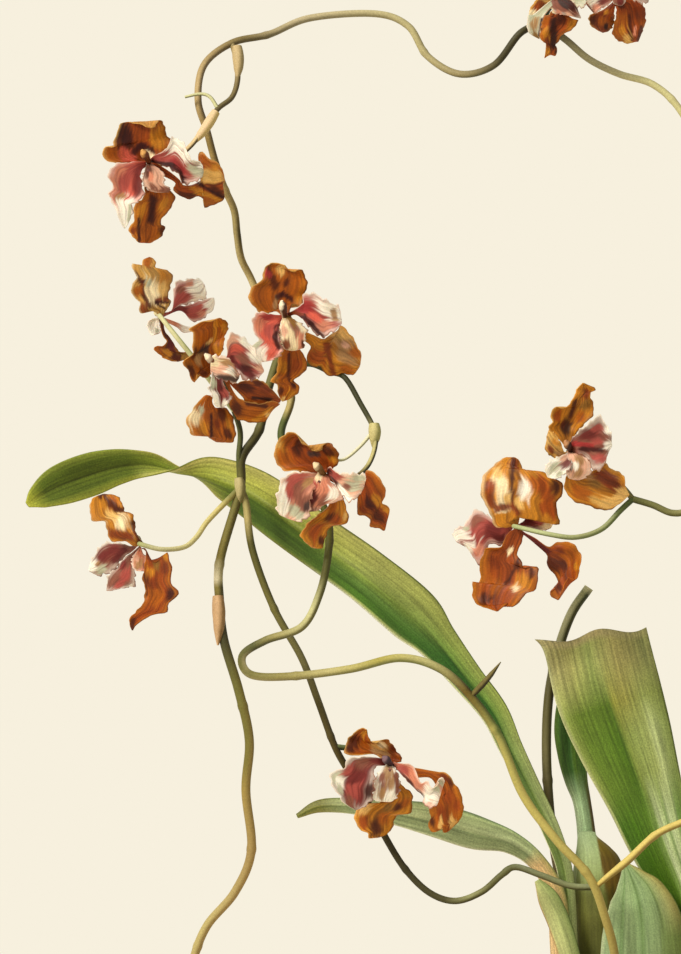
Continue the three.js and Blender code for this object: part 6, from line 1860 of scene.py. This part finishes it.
# The lower one at the middle right, from behind.
BLOOM_8 = [
    ("reverse", "amber",
     [(-1, 0), (-10, 0), (-13.4, 7.7), (-16.5, 13), (-17.6, 17.6), (-17.2, 23), (-14.5, 27.6), (-10, 31.4),
      (-6.1, 34.5), (-1.5, 34.5)],
     [(1, 1), (3.1, 7.7), (10, 7.7), (15.3, 6.1), (18.4, 1.5), (21.8, 2.3), (19.9, 11.5), (23, 16.1),
      (23.7, 20.7), (19.9, 23.7), (13, 27.6), (10.7, 26), (6.9, 27.6), (3.8, 27.6), (1.5, 32.9),
      (-0.5, 34.4)],
     # The cream line from (-7, 21) to (-6, 12) and the white patch at (4, 19) are painted highlights.
     ("cream", -7, 21, -6, 12, 3), ("gold", 1, 12, 2), ("white", 4, 19, 2.6), ("brown", -9, 9, -2, 11, 1.1),
     ("brown", -2, 11, 1, 7, 1.1), ("brown", -1, 31, 1.8), ("umber", -1.6, 33, -2, 14, 0.8),
     ("brown", -14, 20, -13, 12, 1.7), ("rust", 13, 21, 17, 10, 2.8), ("plum", 20, 20, 2.4),
     ("rust", 13, 9, 1.8), ("gold", -9, 27, 1.8), ("rust", 18, 7, 1.8), ("rust", -13, 20, 1.4),
     ("orange", 9, 22, 1.6), ("ochre", -5, 14, 1.6)),
    ("reverse_side", "rust",
     [(-1, -1), (-4.6, -3.8), (-7.7, -10), (-14.2, -10.7), (-16.1, -12.3), (-18, -18.4), (-18.4, -28.3),
      (-21.8, -27.6), (-20.7, -37.5), (-14.5, -40.6), (-10, -42.1)],
     [(2, -1), (3.8, -3.8), (1, -12), (0.8, -14.5), (3.1, -18.4), (3.8, -20.7), (10, -19.9), (11.1, -23.7),
      (9.2, -31.4), (4.6, -33.7), (-0.8, -39.8), (-3.8, -38.3), (-9, -42)],
     ("umber", -14, -37, -3, -26, 0.6), ("umber", -3, -26, 3, -12, 0.6), ("amber", 4, -28, 2.8),
     ("cream", 0, -31, 1), ("umber", 1, -19, 1.3), ("orange", -10, -30, 2.6), ("brown", -10, -18, 2),
     ("umber", -16, -36, 1.8), ("cream", -3, -12, 1), ("umber", 8, -23, 1.6)),
    ("reverse_side", "rust",
     [(2, -1), (4.6, -3.1), (10, -6), (16, -10), (19.9, -8), (23.7, -7.3), (29.1, -9.2), (32.2, -14.5),
      (31.4, -20.7), (30.2, -25.7), (26, -25.3)],
     [(1, -2), (5, -5), (10, -9), (15.3, -14), (15.3, -17.6), (16.1, -20.7), (20.7, -26), (19.9, -30.6),
      (16.8, -32.9), (20.7, -36.8), (23.7, -29.1), (25.4, -26.2)],
     ("wine", 5, -4, 15, -12, 1.4), ("umber", 18, -19, 3), ("umber", 24, -19, 2), ("orange", 26, -15, 2.6),
     ("umber", 21, -30, 1.4), ("amber", 30, -20, 1), ("brown", 22, -12, 1.3)),
    ("reverse_petal", "rose",
     [(-1, 1), (-6.1, 2), (-12.3, 4.3), (-16.8, 7.7), (-21.4, 7.7), (-24.5, 2.3), (-31.4, -2.6), (-30, -7)],
     [(-1, 0), (-4.6, -5), (-6, -9.2), (-13, -9.2), (-17.6, -18.4), (-20.7, -16.1), (-24, -11), (-29, -8)],
     ("maroon", -11, -2, 3), ("wine", -8, -6, 1.8), ("white", -28, -4, 2.6), ("white", -23, -10, 2.4),
     ("pink", -18, -12, 1.8), ("mauve", -20, 3, 2), ("sage", -25, -1, 1)),
    ("reverse_petal", "maroon",
     [(1, 1), (4, 3), (6, 6), (10, 6), (15, 4), (18, 3)],
     [(1, 0), (5, 0), (9, -1.5), (13, -2), (17, -1), (18.3, 1)],
     ("cream", 16.5, 1.5, 2.6), ("wine", 6, 3, 1.6), ("rose", 12, 2, 1.2)),
]
# The upper one at the middle right.
BLOOM_9 = [
    ("upper", "amber",
     [(-3, 3), (-7, 7.5), (-11, 11.7), (-9.5, 14.8), (-9.9, 18.6), (-8, 22.4), (-3.4, 21.7), (0.5, 25.5),
      (2.8, 30.9), (5.8, 34.3)],
     [(1, 3), (2, 7), (3.6, 10.4), (6, 13.2), (11.2, 18.6), (11.2, 23.2), (9.6, 29.3), (12.7, 31.2),
      (7, 34)],
     # The night patch at (-3, 12.5) is the column's shadow, painted on this sepal.
     ("olive", 8, 24, 2), ("umber", 2, 25, 0, 18, 1), ("night", -3, 12.5, 2.4), ("umber", -4, 14, 1.2),
     ("rust", -7, 18, 1.6), ("brown", 8, 29, 1.6), ("amber", 2, 28, 1), ("orange", 5, 17, 1.8)),
    ("side", "ochre",
     [(-1, 1), (-3.4, 0), (-4.9, 4.1), (-7.2, 7.9), (-10.3, 11.7), (-11.8, 8)],
     [(-1, -1), (-3.4, -1.3), (-6.4, -3.6), (-11, -1.3), (-12.9, 1.8), (-11.8, 4.8), (-12, 7)],
     ("brown", -10, 1, 1.3), ("amber", -8, 5, 1.2), ("tan", -6, -1, 1.2), ("ochre", -10, 8, 1)),
    ("flat", "amber",
     [(1, -2), (5, -7), (8.9, -10), (13.5, -8.2), (17.3, -5.9), (21.1, -9), (26.1, -11.3), (27.3, -17.4),
      (29.2, -21.2)],
     [(0, -2), (-1, -9), (-3.4, -15.1), (-2.2, -20.4), (1.2, -24.3), (10.4, -27.3), (17.3, -29.2),
      (23.4, -26.6), (28.6, -22)],
     ("mauve", 18, -13, 3), ("gold", 17, -26, 2.2), ("orange", 5, -20, 3), ("olive", 12, -16, 2),
     ("ochre", 12, -24, 1.6), ("rust", 22, -18, 2), ("tan", 9, -12, 1.6), ("brown", 16, -12, 21, -16, 2.4),
     ("gold", 22, -25, 27, -20, 1.9)),
    ("petal", "mauve",
     [(-1, 3.6), (2, 8.6), (9, 14.6), (13.5, 18.2), (15.4, 17), (17.5, 13.2), (20, 9.4), (20, 5)],
     [(0, 0), (5.5, -1.6), (9, -4.6), (11.2, -9.5), (15.8, -7.5), (18.8, 0.2), (20.4, 2.6)],
     ("maroon", 9, 9, 2.8), ("crimson", 2, 4, 10, 3, 1.1), ("plum", 6, 1.6, 14, 1, 1.2),
     ("white", 18.5, 11, 1.8), ("rose", 13, 12, 2), ("white", 19, 3, 1.8), ("rose", 14, -3, 1.8),
     ("rose", 13, 5, 1.6)),
    ("petal", "white",
     [(-1, 0), (-5, -2), (-10, -4), (-13, -8), (-12, -12)],
     [(1, -2), (0.5, -6), (-2, -10), (-7, -13.4), (-11, -12.8)],
     ("sage", -8, -7.4, 2), ("maroon", -2.2, -5.5, 2.2), ("sage", -6, -11, 1), ("blush", -4, -3, 1.2)),
    ("lip", "blush",
     [(-2, 0), (-2.6, -4), (-3, -9), (-1, -13.4)],
     [(2, 0), (6, -1.6), (10, -5), (10, -10), (6, -13.4), (2, -14)],
     ("tan", 4.3, -4.4, 1.8), ("plum", -0.5, -6.7, 1.8), ("tan", 4, -10, 1.6), ("white", 2, -7, 1.2)),
]
# The left one at the top.
BLOOM_10 = [
    ("upper", "rust",
     [(-1, 1), (-6, 5), (-11, 9), (-13, 15), (-11, 21), (-6, 25), (-2, 26.6)],
     [(1, 1), (5, 6), (9, 11), (10, 17), (8, 22), (4, 25.5), (0, 26.8)],
     ("umber", -1, 22, -1, 10, 0.9), ("amber", -8, 12, 2.4), ("orange", 5, 18, 2), ("ochre", -4, 23, 1.2)),
    ("side", "rust",
     [(-1, -2), (-5, -7.5), (-8.5, -8.5), (-9, -13), (-9.6, -18), (-7.8, -21), (-6.4, -22), (-6.6, -26),
      (-7.1, -29)],
     [(1, -2), (4, -7.6), (8, -10), (9.4, -10.4), (8, -14), (4.5, -16), (2, -17.5), (0.6, -19),
      (-0.6, -21.5), (-1.8, -22.5), (-0.9, -24.5), (-1.6, -28), (-4, -27.5), (-6.6, -28.6)],
     ("amber", -6.5, -16, -5.4, -20, 1.4), ("brown", -5.8, -21.5, 1.4), ("amber", -5.4, -26, 1.2),
     ("night", -2.5, -11, -2.8, -22, 1.5), ("amber", 7, -12.5, 1.8), ("umber", 1, -10, 1.8),
     ("orange", -6.5, -11, 1.2), ("umber", -1.5, -26, 0.6), ("plum", -9, -15, 0.8)),
    ("side", "ochre",
     [(-1, 1), (-7, 1), (-10, 1), (-13.5, -3), (-14.4, -5), (-15, -8)],
     [(-1, -1), (-5, -2), (-7.2, -3), (-7.2, -7.5), (-11, -8)],
     ("brown", -9.5, -2.5, 1.8), ("rust", -11.5, -4, 1.2), ("cream", -13.5, -6.5, 1.2)),
    ("petal", "sage",
     [(-2, 1), (-7, -3), (-13, -7.8), (-15.2, -8), (-16, -12), (-15.2, -16.5), (-12.5, -18.6), (-10, -19.8)],
     [(-1, -1), (-4.8, -5), (-7.4, -8.5), (-8.6, -12), (-9.6, -16), (-9.7, -19.6)],
     ("sage", -5.5, -4, 1.8), ("tan", -12.5, -12, 2), ("sage", -14.2, -9, 1.2),
     ("olive", -11.5, -18.4, 1.4), ("plum", -8.6, -10, -9.8, -18, 0.4)),
    ("petal", "sage",
     [(1, 1), (5, 5), (9, 8), (13, 8), (14, 4)],
     [(2, 0), (6, -1), (9, -4), (12.5, -4), (14, 1)],
     ("blush", 6, 2, 2), ("cream", 12, 4, 2), ("maroon", 4, 0, 1.2)),
    ("lip", "mauve",
     [(-2, 0), (-4, -1), (-4.2, -4), (-2.4, -7), (1, -7.6), (6, -8.6), (10.6, -9.6)],
     [(2, 0), (6, 0), (8.4, -1), (9.2, -5), (10.8, -9)],
     ("plum", 5.5, -3, 2.4), ("slate", 2, -1.5, 2), ("mauve", -2, -4, 1.2), ("blush", 5, -7.8, 1.1),
     ("cream", -3.4, -6, 0.8), ("pink", 0, -6.6, 0.9)),
]
# The right one at the top.
BLOOM_11 = [
    ("upper", "rust",
     [(-1, 1), (-5, 6), (-9, 11), (-10, 17), (-8, 22), (-3, 26), (0, 27)],
     [(1, 1), (6, 5), (11, 9), (13, 15), (11, 21), (6, 25), (1, 27)],
     ("umber", 0, 22, 0, 10, 0.9), ("amber", 8, 12, 2.4), ("orange", -5, 18, 2), ("ochre", 4, 23, 1.2)),
    ("side", "brown",
     [(-1, -2), (-6, -6), (-10, -7.5), (-12.8, -8.6), (-13.2, -12), (-12, -14), (-9, -16), (-6.4, -17.2)],
     [(1, -2), (-0.5, -6), (-0.5, -11), (-1.5, -14.6), (-3.5, -16.6), (-5.4, -17)],
     ("umber", -11.5, -11, 1.6), ("orange", -6, -11.5, 1.8), ("rust", -3, -8, 1.6),
     ("amber", -4.5, -7.4, 0.8), ("night", -4.8, -14.4, 1)),
    ("side", "rust",
     [(0, -2), (0.5, -8), (-0.8, -14), (-1.4, -17), (-0.6, -19.6), (1.4, -21), (5, -22.6), (8, -22.4),
      (10.4, -21.6)],
     [(2, 0), (6, 0.5), (11, 1), (13.6, -2), (15, -7), (15.2, -11), (14.4, -14.4), (13, -18), (11.6, -21.6)],
     ("brown", 12, -6, 3), ("umber", 7, -10, 7.6, -20, 1), ("orange", 4, -11, 1.8),
     ("amber", 3.4, -16, 1.5), ("ochre", 6, -20.6, 1.6), ("umber", 13, -15, 11.6, -20.5, 0.8),
     ("salmon", 10, -14.6, 9.6, -18, 0.6), ("rust", 1, -5, 1.8), ("umber", 2.4, -3.4, 1.4)),
    ("petal", "blush",
     [(-2, 1), (-8, 2), (-13, 0), (-15.6, -2), (-13, -5)],
     [(-1, -1), (-4, -4), (-7.5, -6), (-10, -8.2), (-11.6, -7)],
     ("white", -11, -2, 2.4), ("pink", -10, -5, 1.4), ("maroon", -6, -2, 1.8),
     ("brown", -15.6, -2.4, -11, -7.4, 0.35)),
    ("petal", "mauve",
     [(1, 2), (6, 6), (11, 9), (16, 9), (19, 5)],
     [(1, 0), (6, 0), (10, -2), (15, -3), (19, 2)],
     ("white", 16, 4, 2.6), ("rose", 8, 4, 2)),
    ("lip", "mauve",
     [(-1, 0), (-1.6, -1), (-1, -3), (2, -4)],
     [(2, 0), (4.8, 0), (5, -2), (3.4, -3.8)],
     ("maroon", 2, -1.6, 1.4), ("mauve", -0.5, -1.5, 0.9)),
]
BLOOMS = [BLOOM_1, BLOOM_2, BLOOM_3, BLOOM_4, BLOOM_5, BLOOM_6, BLOOM_7, BLOOM_8, BLOOM_9, BLOOM_10, BLOOM_11]

for number, (centre, turn, organs) in enumerate(zip(BLOOM_CENTRES, BLOOM_TURNS, BLOOMS), 1):
    behind = number in BLOOMS_FROM_BEHIND
    sheets = {"sepals": [], "petals": []}
    for seed, (kind, tone, left, right, *patches) in enumerate(organs, number - 1):
        sheet = organ_sheet(centre, turn, behind, kind, left, right, tone, patches, seed)
        sheets[part_of(kind)].append(sheet)
    for part, skin in (("sepals", sepal_skin), ("petals", petal_skin)):
        name = f"{part}_{number:02d}"
        piece = add_piece(name, sheet_mesh(name, sheets[part]), skin)
        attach(piece, "root")
        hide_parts(f"bloom_{number:02d}_{part}")

# Columns and lip crests.
# The column is the waxy beak above the lip, with a rounded cap over the pollen. The crest is a
# cluster of hard little warts at the lip's foot.

# Each column's tip, to the right and up from its bloom's centre, and its lit and shaded colours, which
# paint light and shade on its two sides.
COLUMN_TIPS = [
    (-3.5, 6, "#D9A25C", "#5A2A10"), (-3, 4, "#E4D7A4", "#7A5A2C"), (-8, 8.5, "#F3E4C4", "#6A3A20"),
    (-1.5, 9, "#F6E8C8", "#4A2416"), (-5.5, 6.5, "#EBD3A8", "#6A4A24"), (-4, 4, "#E4D7A4", "#7A5A2C"),
    (-4.5, 4.5, "#7E6268", "#34222C"), (-1, 5, "#E8D2A0", "#7A4A1C"), (-3, 5.5, "#B98458", "#3A1A10"),
    (0, 5, "#C9A070", "#5A3420"), (0, 5, "#C9A070", "#5A3420"),
]
COLUMN_GIRTHS = (1.3, 1.4, 1.45, 1.6, 2.1, 1.9, 0.7)
COLUMN_FOOT = 2.0
COLUMN_REACH = 7.0
COLUMN_ELBOW = (0.45, 0.7, 0.5)
COLUMN_STEP = 0.35
# The column's flesh: waxy and smooth, the glossiest part of the flower. Like a stem, it is painted in
# a lit colour on the side towards the light and a shaded one on the other.
column_skin = stem_material("waxy_column", 0.4)
for number, ((x, y, z), (tip_x, tip_z, lit, shaded)) in enumerate(zip(BLOOM_CENTRES, COLUMN_TIPS), 1):
    away = 1 if number in BLOOMS_FROM_BEHIND else -1
    route = [
        (x + across * tip_x, y + away * (COLUMN_FOOT + ahead * COLUMN_REACH), z + up * tip_z)
        for across, ahead, up in ((0, 0, 0), COLUMN_ELBOW, (1, 1, 1))
    ]
    column_line = stem_line(route, COLUMN_GIRTHS, lit, shaded, step=COLUMN_STEP)
    column = grow_stems(f"column_{number:02d}", [column_line], column_skin)
    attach(column, "root")
    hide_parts(f"bloom_{number:02d}_petals")

# Where each crest stands, by its bloom's number.
CREST_CENTRES = {
    1: (0, -4.5), 3: (2, 1.5), 4: (4.5, -3.5), 5: (-2.5, -3), 7: (-1, -2.5), 9: (3, -3), 10: (2, -2),
}
WARTS = 9
WART_RADIUS = 0.55
WART_GIRTHS = (1.25, 0.75)
WART_TURN = 2.4
CREST_SPREAD = 1.35
CREST_HEIGHT = 7.2
CREST_FALL = 0.4
CREST_MOTTLE_SIZE = 1.25
# Hard wax-like flesh, glossier than the petals, mottled from a dull rose to a dark wine.
crest_wax, tree = new_material("crest_wax")
spot = add_node(tree, "ShaderNodeTexCoord").outputs["Object"]
mottle = add_node(
    tree, "ShaderNodeTexNoise", {"Vector": spot, "Scale": 1 / (CREST_MOTTLE_SIZE * MM), "Detail": 2.0}
)
crest_colours = add_node(tree, "ShaderNodeValToRGB", {"Fac": mottle.outputs["Fac"]})
for stop, (position, colour) in zip(crest_colours.color_ramp.elements, ((0.4, "#4A1A1C"), (0.65, "#A8625A"))):
    stop.position = position
    stop.color = linear(colour)
finish_material(tree, {"Base Color": crest_colours.outputs[0], "Roughness": 0.45})
# The tree puts a round wart at each point, sized by the point's girth.
warting = new_geometry_tree("warty_crest")
wart_radius_input = group_input(warting, "Wart radius", "NodeSocketFloat", WART_RADIUS * MM)
crest_skin_input = group_input(warting, "Skin", "NodeSocketMaterial")
given = add_node(warting, "NodeGroupInput")
wart = add_node(
    warting, "GeometryNodeMeshIcoSphere", {"Radius": given.outputs["Wart radius"], "Subdivisions": 2}
)
girth = add_node(warting, "GeometryNodeInputNamedAttribute", {"Name": "girth"}, data_type="FLOAT")
warts = add_node(
    warting,
    "GeometryNodeInstanceOnPoints",
    {"Points": given.outputs["Geometry"], "Instance": wart.outputs[0], "Scale": girth.outputs[0]},
)
close_geometry_tree(warting, warts.outputs[0], given.outputs["Skin"])
for number, (crest_x, crest_z) in CREST_CENTRES.items():
    x, y, z = BLOOM_CENTRES[number - 1]
    spots, girths = [], []
    for wart_number in range(WARTS):
        share = wart_number / WARTS
        angle = WART_TURN * wart_number
        off = CREST_SPREAD * math.sqrt(share)
        across, up = off * math.cos(angle), off * math.sin(angle)
        spots.append((x + crest_x + across, y - CREST_HEIGHT + CREST_FALL * off, z + crest_z + up))
        girths.append(WART_GIRTHS[0] + (WART_GIRTHS[1] - WART_GIRTHS[0]) * share)
    name = f"crest_{number:02d}"
    crest = grow(
        name,
        line_mesh(name, [spots], girth=girths),
        warting,
        {wart_radius_input: WART_RADIUS * MM, crest_skin_input: crest_wax},
    )
    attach(crest, "root")
    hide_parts(f"bloom_{number:02d}_petals")
